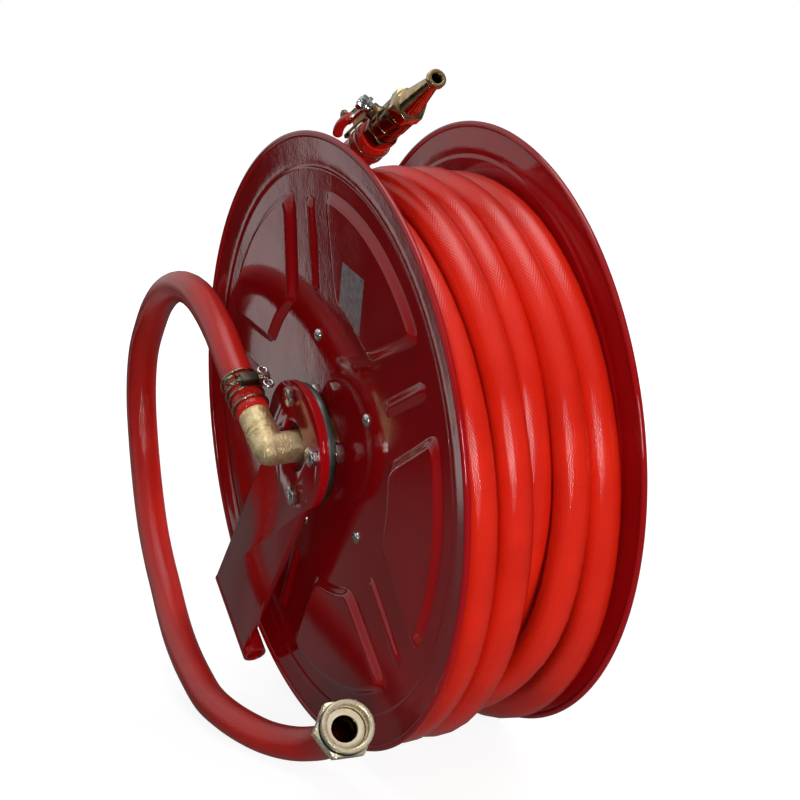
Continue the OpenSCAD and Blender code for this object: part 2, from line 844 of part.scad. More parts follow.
module hinge_tube() {
  color("firebrick") on_arm() translate([arm_len, hinge_len / 2 - hinge_drop, -hinge_x])
    rotate([90, 0, 0]) tube(hinge_r, hinge_bore, hinge_len);
}

module back_plate() {
  color("red") near_side() difference() {
    rod(head_r - 1, back_x, plate_x);
    rod(arm_hole, back_x - 1, plate_x + 1);
    ring_of(4, bolt_circle, bolt_a0) rod(bolt_r + hole_gap, back_x - 1, plate_x + 1);
  }
}

module bearing_flange() {
  color("darkseagreen") near_side() difference() {
    rod(flange_r, flange_x, back_x);
    rod(axle_r + seat, flange_x - 1, back_x + 1);
    ring_of(4, bolt_circle, bolt_a0) rod(bolt_r + hole_gap, flange_x - 1, back_x + 1);
  }
}

module axle() {
  color("silver") on_axle(0) difference() {
    union() {
      rod(axle_r, -back_x, axle_step);
      rod(axle_thread_r, 0, axle_end);
      rod(collar_r, -flange_x + seat, -axle_step);
    }
    rod(water_r, -back_x - 1, port_reach);
    rod(spigot_r + seat, -back_x - 1, spigot_len - back_x + seat);
    for (a = [45, 135]) rotate([0, 0, a]) rotate([0, 90, 0]) rod(port_r, -axle_r - 1, axle_r + 1);
  }
}

module hub_bolts() {
  color("silver") near_side() ring_of(4, bolt_circle, bolt_a0) {
    rod(bolt_r, nut_x - 1, front_x + 1);
    translate([0, 0, front_x]) rotate([0, 0, 30]) hexagon(bolt_af, bolt_head_h);
  }
}

module spring_washers() {
  color("silver") near_side() ring_of(4, bolt_circle, bolt_a0) translate([0, 0, flange_x - spring_t])
    difference() {
      tube(bolt_r * 1.6, bolt_r + hole_gap, spring_t);
      rotate([0, 0, 60]) rotate([30, 0, 0]) translate([0, -0.4, -spring_t]) cube([10, 0.8, 4 * spring_t]);
    }
}

module hub_nuts() {
  color("silver") near_side() ring_of(4, bolt_circle, bolt_a0) translate([0, 0, nut_x]) difference() {
    hexagon(bolt_af, nut_t);
    rod(bolt_r + seat, -1, nut_t + 1);
  }
}

module axle_washer() {
  color("silver") on_axle(axle_step) tube(washer_r, axle_thread_r + seat, washer_t);
}

module axle_nut() {
  color("silver") on_axle(axle_step + washer_t) difference() {
    hexagon(axle_nut_af, axle_nut_t);
    rod(axle_thread_r + seat, -1, axle_nut_t + 1);
  }
}

// ---- elbow ----

module inlet_elbow() {
  color("goldenrod") difference() {
    union() {
      near_side() {
        rod(spigot_r, back_x - spigot_len, back_x + 1);
        rod(elbow_r, back_x + seat, elbow_x);
      }
      on_outlet() {
        sphere(elbow_r);
        cylinder(r = elbow_r, h = elbow_out);
        translate([0, 0, elbow_out]) barbs(30);
      }
    }
    near_side() rod(fitting_bore, back_x - spigot_len - 1, elbow_x);
    on_outlet() {
      sphere(fitting_bore);
      rod(fitting_bore, 0, elbow_out + 31);
    }
  }
}

module elbow_clamp() {
  color("darkkhaki") on_outlet()
    for (z = clamp_at) translate([0, 0, elbow_out + z]) torus(wire_ring, wire_r);
}

// x along the clamp's screw, z along the hose
module on_clamp() {
  on_outlet() translate([0, -block_y - block_t / 2, elbow_out + clamp_mid]) children();
}

module elbow_clamp_block() {
  color("dimgray") on_clamp() difference() {
    translate([block_x0, -block_t / 2, -block_z / 2]) cube([block_x1 - block_x0, block_t, block_z]);
    translate([block_x0 - 1, 0, 0]) rotate([0, 90, 0])
      cylinder(r = clamp_screw_r + seat, h = block_x1 - block_x0 + 2);
  }
}

module elbow_clamp_screw() {
  color("darkkhaki") on_clamp() {
    translate([clamp_screw_x0, 0, 0]) rotate([0, 90, 0])
      cylinder(r = clamp_screw_r, h = clamp_screw_x1 - clamp_screw_x0);
    translate([clamp_screw_x0 - eye_r, 0, 0]) torus(eye_r + eye_t, eye_t);
  }
}

module wing_nut() {
  color("silver") on_clamp() {
    translate([wing_x0, 0, 0]) rotate([0, 90, 0]) tube(wing_r, clamp_screw_r + seat, wing_t);
    for (side = [-1, 1])
      translate([wing_x0 + wing_t / 2, 0, side * wing_span]) rotate([90, 0, 0])
        torus(wing_loop, 1.1);
  }
}

// ---- lead-in hose ----

function unit(v) = v / norm(v);
function before(i) = i > 0 ? route[i - 1] : 2 * route[0] - route[1];
function after(i) = i < len(route) - 1 ? route[i + 1] : 2 * route[i] - route[i - 1];
function slope_at(i) = (after(i) - before(i)) / 2;
function along(i, t) =
  (2 * pow(t, 3) - 3 * t * t + 1) * route[i] + (pow(t, 3) - 2 * t * t + t) * slope_at(i)
  + (3 * t * t - 2 * pow(t, 3)) * route[i + 1] + (pow(t, 3) - t * t) * slope_at(i + 1);
last = (len(route) - 1) * route_steps;
path = [for (j = [0 : last]) j == last ? route[len(route) - 1]
  : along(floor(j / route_steps), (j % route_steps) / route_steps)];
function heading(j) = j == 0 ? out_dir : j == last ? coupling_dir : unit(path[j + 1] - path[j - 1]);
function ring(j, radius) = [for (k = [0 : hose_sides - 1])
  let (t = heading(j), u = unit(cross([1, 0, 0], t)), v = cross(t, u), a = k * 360 / hose_sides)
  path[j] + radius * (cos(a) * u + sin(a) * v)];

module lead_hose() {
  rings = last + 1;
  inner = rings * hose_sides;
  points = concat(
    [for (j = [0 : last], p = ring(j, hose_r)) p],
    [for (j = [0 : last], p = ring(j, hose_bore / cos(180 / hose_sides))) p]);
  faces = concat(
    [for (j = [0 : last - 1], k = [0 : hose_sides - 1])
      let (a = j * hose_sides + k, b = j * hose_sides + (k + 1) % hose_sides)
      [a, a + hose_sides, b + hose_sides, b]],
    [for (j = [0 : last - 1], k = [0 : hose_sides - 1])
      let (a = inner + j * hose_sides + k, b = inner + j * hose_sides + (k + 1) % hose_sides)
      [a, b, b + hose_sides, a + hose_sides]],
    [for (k = [0 : hose_sides - 1]) let (n = (k + 1) % hose_sides)
      [k, n, inner + n, inner + k]],
    [for (k = [0 : hose_sides - 1]) let (n = (k + 1) % hose_sides, e = last * hose_sides)
      [e + k, inner + e + k, inner + e + n, e + n]]);
  color("red") from_axle() polyhedron(points = points, faces = faces);
}

// ---- coupling ----

module coupling_nut() {
  color("gold") on_coupling() difference() {
    union() {
      rod(mouth_r, -mouth_len, 0);
      rod(mouth_r - ring_deep, -mouth_len - ring_w, -mouth_len + 1);
      translate([0, 0, -nut_len]) hexagon(coupling_af, coupling_hex);
    }
    rod(thread_r, -cavity, 1);
    rod(thread_r + relief, -cavity, -thread_len);
    rod(neck_r + seat, -nut_len - 1, 0);
  }
}

module coupling_ring() {
  color("black") on_coupling() translate([0, 0, -mouth_len - ring_w + seat])
    tube(mouth_r - 0.3, mouth_r - ring_deep + seat, ring_w - 2 * seat);
}

module coupling_washer() {
  color("dimgray") on_coupling() translate([0, 0, -washer_z - coupling_washer_t])
    tube(tail_flange_r, washer_bore, coupling_washer_t);
}

module coupling_tail() {
  flange_z = -washer_z - coupling_washer_t - seat;
  color("gold") on_coupling() difference() {
    union() {
      rod(tail_flange_r, flange_z - tail_flange_t, flange_z);
      rod(neck_r, -tail_len, flange_z);
      rod(shoulder_out, -tail_len, -nut_len - seat);
      translate([0, 0, -tail_len]) mirror([0, 0, 1]) barbs(barb_len);
    }
    rod(coupling_bore, -tail_len - barb_len - 1, 1);
  }
}

near_disc();
far_disc();
near_disc_screws();
far_disc_screws();
weld_nuts();
drum_shell();
near_hub_plate();
far_hub_plate();
near_bush();
far_bush();
swivel_housing();
o_rings();
outlet_elbow();
outlet_clamp();
inner_hose();
wound_hose();
nozzle_hose();
nozzle_clamp();
nozzle_clamp_block();
nozzle_clamp_screw();
nozzle_tail();
valve_body();
valve_seats();
jet_nozzle();
valve_ball();
valve_stem();
valve_lever();
lever_sleeve();
lever_nut();
arm_plate();
hinge_tube();
back_plate();
bearing_flange();
axle();
hub_bolts();
spring_washers();
hub_nuts();
axle_washer();
axle_nut();
inlet_elbow();
elbow_clamp();
elbow_clamp_block();
elbow_clamp_screw();
wing_nut();
lead_hose();
coupling_tail();
coupling_washer();
coupling_nut();
coupling_ring();
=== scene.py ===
import math
import bpy
from mathutils import Matrix, Vector


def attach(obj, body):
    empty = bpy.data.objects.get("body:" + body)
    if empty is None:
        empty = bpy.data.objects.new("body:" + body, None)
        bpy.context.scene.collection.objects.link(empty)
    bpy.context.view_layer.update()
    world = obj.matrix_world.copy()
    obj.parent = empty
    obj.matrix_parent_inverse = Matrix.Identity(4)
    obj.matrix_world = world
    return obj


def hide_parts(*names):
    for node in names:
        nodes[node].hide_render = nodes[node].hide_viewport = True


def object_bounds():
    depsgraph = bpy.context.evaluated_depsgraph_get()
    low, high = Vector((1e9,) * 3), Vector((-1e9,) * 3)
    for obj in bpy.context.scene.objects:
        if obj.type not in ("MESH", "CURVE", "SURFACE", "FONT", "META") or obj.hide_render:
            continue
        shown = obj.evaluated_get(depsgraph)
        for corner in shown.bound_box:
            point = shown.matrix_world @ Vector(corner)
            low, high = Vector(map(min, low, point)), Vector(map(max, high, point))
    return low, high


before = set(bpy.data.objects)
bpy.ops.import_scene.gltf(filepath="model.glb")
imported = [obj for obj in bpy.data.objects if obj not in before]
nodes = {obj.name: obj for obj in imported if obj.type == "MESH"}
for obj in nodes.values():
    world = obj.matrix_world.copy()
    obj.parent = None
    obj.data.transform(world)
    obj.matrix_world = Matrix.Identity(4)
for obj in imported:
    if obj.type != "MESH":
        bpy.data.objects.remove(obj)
cad_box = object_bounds()

# ---- camera ----
# A long lens looks at the reel from the front left, a little above the axle.
lens = bpy.data.cameras.new("camera")
lens.lens = 90
lens.sensor_width = 36
camera = bpy.data.objects.new("camera", lens)
bpy.context.scene.collection.objects.link(camera)
camera.location = (-0.5686, -1.4453, 0.5819)
sight = Vector((0.0813, -0.1317, 0.2030)) - camera.location
camera.rotation_euler = sight.to_track_quat("-Z", "Y").to_euler()
bpy.context.scene.camera = camera
bpy.context.scene.view_settings.view_transform = "Standard"

# ---- lead-in hose ----
# A rubber hose with a textile ply, whose weave shows through the cover as small dimples.
# It is pushed on the elbow's barbs, stands up in a stiff loop and comes round to the coupling.
axle = Vector((0.0809, -0.1386026, 0.1799294))
hose_across = 0.0255
hose_wall = 0.00325
weave_pitch = 0.0028      # from dimple to dimple along the hose
weave_round = 40          # dimples round the hose


def at(x, y, z):
    """A place given in millimetres from the middle of the axle."""
    return axle + Vector((x, y, z)) / 1000


def smooth_line(stops, steps):
    """Points on a smooth curve through the stops, with so many steps from stop to stop."""
    ends = [2 * stops[0] - stops[1], *stops, 2 * stops[-1] - stops[-2]]
    points = []
    for a, b, c, d in zip(ends, ends[1:], ends[2:], ends[3:]):
        for step in range(steps):
            t = step / steps
            points.append(b + (c - a) * t / 2 + (2 * a - 5 * b + 4 * c - d) * t * t / 2
                          + (3 * b - a - 3 * c + d) * t ** 3 / 2)
    return points + [stops[-1]]


def line_length(points):
    return sum((b - a).length for a, b in zip(points, points[1:]))


def hose_along(name, points, across, closed=True):
    """A round hose drawn along the points."""
    bpy.ops.object.select_all(action="DESELECT")
    bpy.ops.curve.primitive_nurbs_path_add()
    hose = bpy.context.object
    hose.name = name
    drawn = hose.data
    drawn.splines.clear()
    spline = drawn.splines.new("POLY")
    spline.points.add(len(points) - 1)
    for knot, point in zip(spline.points, points):
        knot.co = (*point, 1)
    drawn.twist_mode = "MINIMUM"
    drawn.bevel_depth = across / 2
    drawn.bevel_resolution = 10
    drawn.use_fill_caps = closed
    bpy.ops.object.convert(target="MESH")
    hose = bpy.context.object
    bpy.ops.object.shade_smooth_by_angle(angle=math.radians(60))
    return hose


def add_node(tree, kind, links=(), **values):
    """A shader node with its properties and inputs set, fed by the sockets in links."""
    node = tree.nodes.new(kind)
    for key, value in values.items():
        if hasattr(node, key):
            setattr(node, key, value)
        else:
            node.inputs[key.replace("_", " ")].default_value = value
    for socket, source in links:
        tree.links.new(source, node.inputs[socket])
    return node


def blank_material(name, colour, rough, metal=0.0):
    """A material with its plain values set, its node tree, its shader and object coordinates."""
    made = bpy.data.materials.new(name)
    made.use_nodes = True
    tree = made.node_tree
    shader = tree.nodes["Principled BSDF"]
    shader.inputs["Base Color"].default_value = (*colour, 1)
    shader.inputs["Roughness"].default_value = rough
    shader.inputs["Metallic"].default_value = metal
    return made, tree, shader, add_node(tree, "ShaderNodeTexCoord").outputs["Object"]


def sum_of(tree, operation, a, b):
    """One arithmetic node on two sockets or numbers."""
    node = tree.nodes.new("ShaderNodeMath")
    node.operation = operation
    for place, value in enumerate((a, b)):
        if isinstance(value, (int, float)):
            node.inputs[place].default_value = value
        else:
            tree.links.new(value, node.inputs[place])
    return node.outputs[0]


def ramp(tree, value, start, end, low, high, form="SMOOTHSTEP"):
    """A step from one strength to another as the value passes from start to end."""
    step = add_node(tree, "ShaderNodeMapRange", [("Value", value)], interpolation_type=form)
    for socket, number in (("From Min", start), ("From Max", end),
                           ("To Min", low), ("To Max", high)):
        step.inputs[socket].default_value = number
    return step.outputs["Result"]


def noise(tree, place, scale, detail):
    """Random soft patches, as a value between 0 and 1."""
    return add_node(tree, "ShaderNodeTexNoise", [("Vector", place)],
                    Scale=scale, Detail=detail).outputs["Fac"]


def mottled(tree, shader, place, size, dark, light, low=0.35, high=0.65):
    """The base colour wanders between a dark and a light tone in patches of about that size."""
    tones = add_node(tree, "ShaderNodeValToRGB", [("Fac", noise(tree, place, 1 / size, 4))])
    for stop, spot, tone in zip(tones.color_ramp.elements, (low, high), (dark, light)):
        stop.position = spot
        stop.color = (*tone, 1)
    tree.links.new(tones.outputs["Color"], shader.inputs["Base Color"])
    return tones.outputs["Color"]


def rough_between(tree, shader, place, size, low, high):
    """The roughness wanders between two values in patches of about that size."""
    rough = ramp(tree, noise(tree, place, 1 / size, 3), 0.3, 0.7, low, high, "LINEAR")
    tree.links.new(rough, shader.inputs["Roughness"])


def raised(tree, shader, height, strength, distance):
    """A fine relief that tilts the surface's light and leaves the mesh as it is."""
    bump = add_node(tree, "ShaderNodeBump", [("Height", height)],
                    Strength=strength, Distance=distance)
    tree.links.new(bump.outputs["Normal"], shader.inputs["Normal"])


def hose_rubber(name, length, dark, light):
    """Red hose cover: a diamond net of dimples wound round the hose at the weave's pitch, with painted
    shade darkening the colour in the dimples.
    """
    made, tree, shader, place = blank_material(name, light, 0.25)
    wound = add_node(tree, "ShaderNodeUVMap", uv_map="UVMap")
    parts = add_node(tree, "ShaderNodeSeparateXYZ", [("Vector", wound.outputs["UV"])])
    along = sum_of(tree, "MULTIPLY", parts.outputs["X"], math.tau * length / weave_pitch)
    round_it = sum_of(tree, "MULTIPLY", parts.outputs["Y"], math.tau * weave_round)
    left = sum_of(tree, "SINE", sum_of(tree, "ADD", along, round_it), 0)
    right = sum_of(tree, "SINE", sum_of(tree, "SUBTRACT", along, round_it), 0)
    net = sum_of(tree, "MULTIPLY", sum_of(tree, "ADD", left, right), 0.25)
    grain = sum_of(tree, "MULTIPLY", noise(tree, place, 1400, 3), 0.02)
    raised(tree, shader, sum_of(tree, "ADD", net, grain), 0.24, 0.0006)
    colour = mottled(tree, shader, place, 0.06, dark, light)
    # Painted shade: the colour is darkened to 0.8 in the hollows of the dimples.
    shade = add_node(tree, "ShaderNodeMix", data_type="RGBA", blend_type="MULTIPLY")
    shade.inputs["Factor"].default_value = 1
    tree.links.new(colour, shade.inputs["A"])
    tree.links.new(ramp(tree, net, -0.5, 0.1, 0.8, 1.0, "LINEAR"), shade.inputs["B"])
    tree.links.new(shade.outputs["Result"], shader.inputs["Base Color"])
    rough_between(tree, shader, place, 0.03, 0.10, 0.15)
    return made


nut_mouth = Vector((-111, -138, -164))
nut_way = Vector((-0.11672, -0.83051, 0.54464))
tail_back = 27.1          # from the nut's mouth back to the hose's end
tail_inside = 28          # the straight end of the hose, on its tail
lead_end = nut_mouth - tail_back * nut_way
lead_stops = [
    (-110, 29.02, 19.57), (-110, 52.23, 35.23), (-109, 76, 51), (-107, 101, 66),
    (-105, 127, 77), (-104, 153, 85), (-103, 180, 87), (-103, 206, 84), (-104, 230, 75),
    (-105, 251, 60), (-106, 268, 40), (-108, 280, 17), (-109, 286, -8), (-110, 286, -35),
    (-111, 281, -62), (-113, 271, -87), (-116, 256, -111), (-119, 239, -132),
    (-122, 218, -151), (-125, 195, -167), (-129, 170, -181), (-133, 144, -192),
    (-136, 117, -201), (-138, 90, -208), (-139, 62, -214), (-137, 34, -216),
    (-132, 6, -217), (-124, -21, -217), (-115, -47, -213), (-107, -71, -205),
    tuple(lead_end - tail_inside * nut_way), tuple(lead_end)]
lead_line = smooth_line([at(*stop) for stop in lead_stops], 8)
lead_hose = hose_along("lead_in_hose", lead_line, hose_across, False)
wall = lead_hose.modifiers.new("wall", "SOLIDIFY")
wall.thickness = hose_wall
wall.offset = -1
bpy.ops.object.modifier_apply(modifier="wall")
lead_red = hose_rubber("lead_rubber", line_length(lead_line),
                       (0.52, 0.012, 0.009), (0.64, 0.018, 0.012))
lead_hose.data.materials.append(lead_red)
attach(lead_hose, "frame")
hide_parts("lead_hose")

# ---- wound hose ----
# Twenty metres of the same hose: from the outlet inside the drum, through the drum's slot,
# four neat layers over the drum, then a fifth that hangs loose and ends in the nozzle's line.
outlet_reach = 52         # from the axle out to the corner of the outlet elbow
led_out = 0.05            # radius of the bend to the drum's slot
first_layer = 98.75       # radius of the innermost turns
last_row = 50.75          # place of a full layer's last turn along the axle


def wind(angle, x, radius):
    """A place on the winding: degrees round the axle, millimetres along it and out from it."""
    turn = math.radians(angle)
    return at(x, radius * math.cos(turn), radius * math.sin(turn))


def smooth_step(t):
    """From 0 to 1 as t goes from 0 to 1, with a soft start and a soft end."""
    t = min(1, max(0, t))
    return t * t * (3 - 2 * t)


outlet_turn = math.radians(97.2)
outlet_way = Vector((0, -math.sin(outlet_turn), math.cos(outlet_turn)))
outlet_corner = at(0, outlet_reach * math.cos(outlet_turn), outlet_reach * math.sin(outlet_turn))
wound_stops = [outlet_corner + way * outlet_way / 1000 for way in (14, 31.35, 48.7)]
bend_middle = wound_stops[-1] + Vector((0, outlet_way.z, -outlet_way.y)) * -led_out
for angle in (119, 141, 163, 184.8):
    turn = math.radians(angle)
    wound_stops.append(bend_middle + Vector((0, math.cos(turn), math.sin(turn))) * led_out)
for angle, x in ((215, 4), (245, 16), (275, 32), (305, 44), (335, 50), (365, last_row),
                 (395, last_row), (425, last_row)):
    wound_stops.append(wind(angle, x, first_layer))
full_row = (last_row, 25.4, 0, -25.4, -last_row)
short_row = (-38, -12.7, 12.7, 38)
neat_turns = []
for row, radius, sag in ((full_row, first_layer, 0), (short_row, 121, 1), (full_row, 142.5, 2.5),
                         (short_row, 162, 4), ((50,), 182, 8)):
    neat_turns += [(x, radius, sag) for x in row]
for here, there in zip(neat_turns, neat_turns[1:]):
    for angle in range(90, 450, 30):
        share = smooth_step((angle - 330) / 120)
        x, radius, sag = ((1 - share) * a + share * b for a, b in zip(here, there))
        wound_stops.append(wind(angle, x, radius + sag * (1 - math.sin(math.radians(angle)))))
# The loose turns: places along the axle and radii every 30 degrees from the top
loose_turns = (
    (50.0, 182.0), (50.5, 189.5), (50.7, 196.1), (50.7, 202.0), (50.7, 208.3), (50.7, 213.3),
    (50.5, 216.0), (49.3, 213.5), (45.7, 207.7), (40.0, 200.0), (35.1, 192.9), (31.2, 188.2),
    (28.0, 186.0), (27.8, 192.1), (27.2, 197.8), (25.5, 203.0), (19.0, 207.0), (7.0, 203.0),
    (1.0, 198.0), (2.0, 205.0), (2.0, 208.0), (1.0, 203.0), (0.0, 196.0), (0.0, 189.0),
    (3.0, 188.0), (3.7, 189.6), (4.2, 189.9), (4.5, 188.0), (8.0, 181.0), (18.0, 184.0),
    (24.0, 191.0), (16.0, 186.0), (-5.0, 184.0), (-22.0, 193.0), (-21.0, 180.0), (-20.0, 172.0),
    (-22.0, 188.0), (-21.4, 194.1), (-20.3, 199.4), (-19.0, 204.0), (-19.2, 209.6),
    (-19.3, 214.6), (-20.0, 216.5), (-28.0, 200.0), (-42.0, 186.0), (-50.7, 180.0),
    (-50.7, 176.0), (-50.7, 174.0),
    (-50.7, 180.0), (-49.3, 189.6), (-47.6, 197.7), (-46.0, 204.0), (-45.6, 210.4),
    (-45.5, 214.8), (-45.5, 216.7), (-45.0, 216.0), (-44.0, 210.0), (-47.0, 204.0),
    (-42.0, 197.0))
for place, (x, radius) in enumerate(loose_turns):
    wound_stops.append(wind(90 + 30 * place, x, radius))
nozzle_tilt = math.radians(27.4)
nozzle_way = Vector((0, -math.cos(nozzle_tilt), math.sin(nozzle_tilt)))
nozzle_up = Vector((0, math.sin(nozzle_tilt), math.cos(nozzle_tilt)))
nozzle_root = at(-30, -19.5, 228.6)
for back, x in ((118, -3), (88, -0.6), (58, 0), (29, 0), (0, 0)):
    wound_stops.append(nozzle_root + Vector((x, 0, 0)) / 1000 - back / 1000 * nozzle_way)
wound_line = smooth_line(wound_stops, 5)
wound_hose = hose_along("hose_on_the_drum", wound_line, hose_across)
wound_red = hose_rubber("wound_rubber", line_length(wound_line),
                        (0.66, 0.015, 0.005), (0.78, 0.021, 0.007))
wound_hose.data.materials.append(wound_red)
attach(wound_hose, "reel")
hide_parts("wound_hose", "inner_hose", "nozzle_hose")

# ---- discs ----
# Two discs pressed from sheet steel, with five raised petals and five beads for stiffness,
# and the edge rolled to a round rim. They are enamelled deep red, with a clear gloss.
sheet = 1.2
face_out = 65             # from the drum's middle to a disc's outer face
step_r, step_rise = 202.5, 0.8
flare_r, flare_rise, flare_wide = 209, 2.0, 18.5
petals, fifth = 5, 72     # and the degrees from one petal to the next
petal_turn, petal_rise = 46.8, 4.6
petal_low, petal_high = 112, 186     # radii of a petal's two ends
half_low, half_high = 29.5, 80       # half its width at them
flank_soft = 3
petal_start = math.sqrt(petal_low ** 2 - half_low ** 2)
petal_end = math.sqrt(petal_high ** 2 - half_high ** 2)
slope = math.atan2(half_high - half_low, petal_end - petal_start)
bead_turn, bead_rise = 10.8, 2.4
bead_low, bead_high, bead_half = 119, 176, 5.2
rim_ring, rim_section, rim_out = 0.2275, 0.0025, 0.0672
deep_red, full_red = (0.30, 0.002, 0.004), (0.37, 0.003, 0.006)


def disc_height(y, z):
    """How far the pressed face stands out at a place on the disc, in millimetres."""
    radius = math.hypot(y, z)
    high = step_rise * smooth_step((radius - step_r) / 3)
    high += flare_rise * max(0, (radius - flare_r) / flare_wide)
    petal = bead = 0
    for k in range(petals):
        turn = math.radians(petal_turn + fifth * k)
        out = y * math.cos(turn) + z * math.sin(turn)
        side = abs(y * math.sin(turn) - z * math.cos(turn))
        if out > 0:
            flank = (out - petal_start) * math.sin(slope) - (side - half_low) * math.cos(slope)
            near = [radius - petal_low, petal_high - radius, flank]
            crowd = sum(math.exp(-min(d, 60) / flank_soft) for d in near)
            depth = -flank_soft * math.log(crowd)
            petal = max(petal, petal_rise * smooth_step((depth + 3.2) / 6.5))
        turn = math.radians(bead_turn + fifth * k)
        out = y * math.cos(turn) + z * math.sin(turn)
        side = y * math.sin(turn) - z * math.cos(turn)
        if out > 0:
            past = max(bead_low - out, out - bead_high, 0)
            bead = max(bead, bead_rise * smooth_step(1.15 - math.hypot(past, side) / bead_half))
    return high + max(petal, bead)


def drawn_and_spun(name, profile, steps):
    """A profile of (radius, height) points in millimetres, drawn point by point and spun."""
    bpy.ops.object.select_all(action="DESELECT")
    bpy.ops.mesh.primitive_plane_add(size=0.001)
    piece = bpy.context.object
    piece.name = name
    bpy.ops.object.mode_set(mode="EDIT")
    bpy.ops.mesh.merge(type="CENTER")
    radius, height = profile[0]
    bpy.ops.transform.translate(value=(radius / 1000, 0, height / 1000))
    for (r0, h0), (r1, h1) in zip(profile, profile[1:]):
        step = ((r1 - r0) / 1000, 0, (h1 - h0) / 1000)
        bpy.ops.mesh.extrude_vertices_move(TRANSFORM_OT_translate={"value": step})
    bpy.ops.mesh.select_all(action="SELECT")
    bpy.ops.mesh.spin(steps=steps, angle=math.tau, center=(0, 0, 0), axis=(0, 0, 1))
    bpy.ops.mesh.select_all(action="SELECT")
    bpy.ops.mesh.remove_doubles(threshold=2e-6)
    bpy.ops.mesh.normals_make_consistent(inside=False)
    bpy.ops.object.mode_set(mode="OBJECT")
    return piece


def apply(piece, kind, **values):
    """Add a modifier to a piece and apply it."""
    bpy.context.view_layer.objects.active = piece
    made = piece.modifiers.new("step", kind)
    for key, value in values.items():
        setattr(made, key, value)
    bpy.ops.object.modifier_apply(modifier="step")


def joined(pieces):
    """Several meshes as one piece, under the first one's name."""
    bpy.ops.object.select_all(action="DESELECT")
    for piece in pieces:
        piece.select_set(True)
    bpy.context.view_layer.objects.active = pieces[0]
    bpy.ops.object.join()
    return pieces[0]


def enamel(name):
    """Stoved enamel: a faint orange peel, fine dust and a clear gloss."""
    made, tree, shader, place = blank_material(name, full_red, 0.08)
    mottled(tree, shader, place, 0.12, deep_red, full_red)
    dust = sum_of(tree, "MULTIPLY", noise(tree, place, 30, 2), 4)
    raised(tree, shader, sum_of(tree, "ADD", noise(tree, place, 420, 1), dust), 0.10, 0.0004)
    rough_between(tree, shader, place, 0.05, 0.05, 0.11)
    return made


disc_red = enamel("disc_enamel")
# Radii at which the sheet is drawn, closer together where it is pressed
radii = [23.1, 40, 60, 80, 95, 104, 107.5]
radii += [108.5 + 1.1 * k for k in range(9)] + [119.5 + 2.6 * k for k in range(23)]
radii += [181 + 1.1 * k for k in range(9)] + [193, 198, 201.5]
radii += [step_r + 0.6 * k for k in range(6)]
radii += [207.5, 209, 214, 220, 225.6]
for name, side in (("near_pressed_disc", -1), ("far_pressed_disc", 1)):
    disc = drawn_and_spun(name, [(radius, 0) for radius in radii], 480)
    for vertex in disc.data.vertices:
        y, z = vertex.co.x * 1000, vertex.co.y * 1000
        vertex.co = (side * (face_out - sheet / 2 + disc_height(y, z)) / 1000, y / 1000, z / 1000)
    apply(disc, "SOLIDIFY", thickness=sheet / 1000, offset=0)
    bpy.ops.object.select_all(action="DESELECT")
    bpy.ops.mesh.primitive_torus_add(major_radius=rim_ring, minor_radius=rim_section,
                                     major_segments=240, minor_segments=16,
                                     rotation=(0, math.pi / 2, 0),
                                     location=(side * rim_out, 0, 0))
    rim = bpy.context.object
    bpy.ops.object.transform_apply()
    disc = joined([disc, rim])
    bpy.ops.object.mode_set(mode="EDIT")
    bpy.ops.mesh.select_all(action="SELECT")
    bpy.ops.mesh.normals_make_consistent(inside=False)
    bpy.ops.object.mode_set(mode="OBJECT")
    bpy.ops.object.shade_smooth_by_angle(angle=math.radians(50))
    disc.data.transform(Matrix.Translation(axle))
    disc.data.materials.clear()
    disc.data.materials.append(disc_red)
    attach(disc, "reel")
    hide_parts("near_disc" if side < 0 else "far_disc")

# ---- rating plate ----
# A thin bare aluminium plate is stuck on the petal above the arm.
bpy.ops.object.select_all(action="DESELECT")
bpy.ops.mesh.primitive_grid_add(x_subdivisions=14, y_subdivisions=12, size=1)
plate = bpy.context.object
plate.name = "rating_plate"
plate.data.transform(Matrix.Diagonal((0.042, 0.036, 1, 1)))
tilt = math.radians(118.8 - 17)
plate_y, plate_z = -57, 119
for vertex in plate.data.vertices:
    out, side = vertex.co.x * 1000, vertex.co.y * 1000
    y = plate_y + out * math.cos(tilt) - side * math.sin(tilt)
    z = plate_z + out * math.sin(tilt) + side * math.cos(tilt)
    vertex.co = at(-65.12 - disc_height(y, z), y, z)
apply(plate, "SOLIDIFY", thickness=0.00035, offset=0)
bare_silver, tree, shader, place = blank_material("bare_silver", (0.42, 0.38, 0.39), 0.3, 1.0)
mottled(tree, shader, place, 0.004, (0.30, 0.25, 0.26), (0.46, 0.42, 0.43))
rough_between(tree, shader, place, 0.003, 0.25, 0.42)
bpy.ops.object.shade_smooth_by_angle(angle=math.radians(40))
plate.data.materials.append(bare_silver)
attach(plate, "reel")

# ---- disc screws ----
# Zinc-plated pan head screws with a cross recess hold each disc to the drum's flange;
# they run into weld nuts behind the sheet.


def facing(origin, along, across):
    """The place where a piece's Z axis runs along one way and its X axis across it."""
    z = Vector(along).normalized()
    x = Vector(across)
    x = (x - x.dot(z) * z).normalized()
    turned = Matrix((x, z.cross(x), z)).transposed().to_4x4()
    turned.translation = origin
    return turned


def settle(piece, place, edge, segments=2):
    """Soften a piece's sharp edges (in millimetres), shade it smooth and put it in its place."""
    if edge:
        apply(piece, "BEVEL", width=edge / 1000, segments=segments, limit_method="ANGLE",
              angle_limit=math.radians(40), harden_normals=False)
    bpy.ops.object.select_all(action="DESELECT")
    piece.select_set(True)
    bpy.context.view_layer.objects.active = piece
    bpy.ops.object.shade_smooth_by_angle(angle=math.radians(38))
    piece.data.transform(place)
    return piece


def finished(piece, material, body, node):
    """Give a piece its finish, the body that it rides on and the CAD node that it stands for."""
    piece.data.materials.clear()
    piece.data.materials.append(material)
    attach(piece, body)
    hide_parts(node)
    return piece


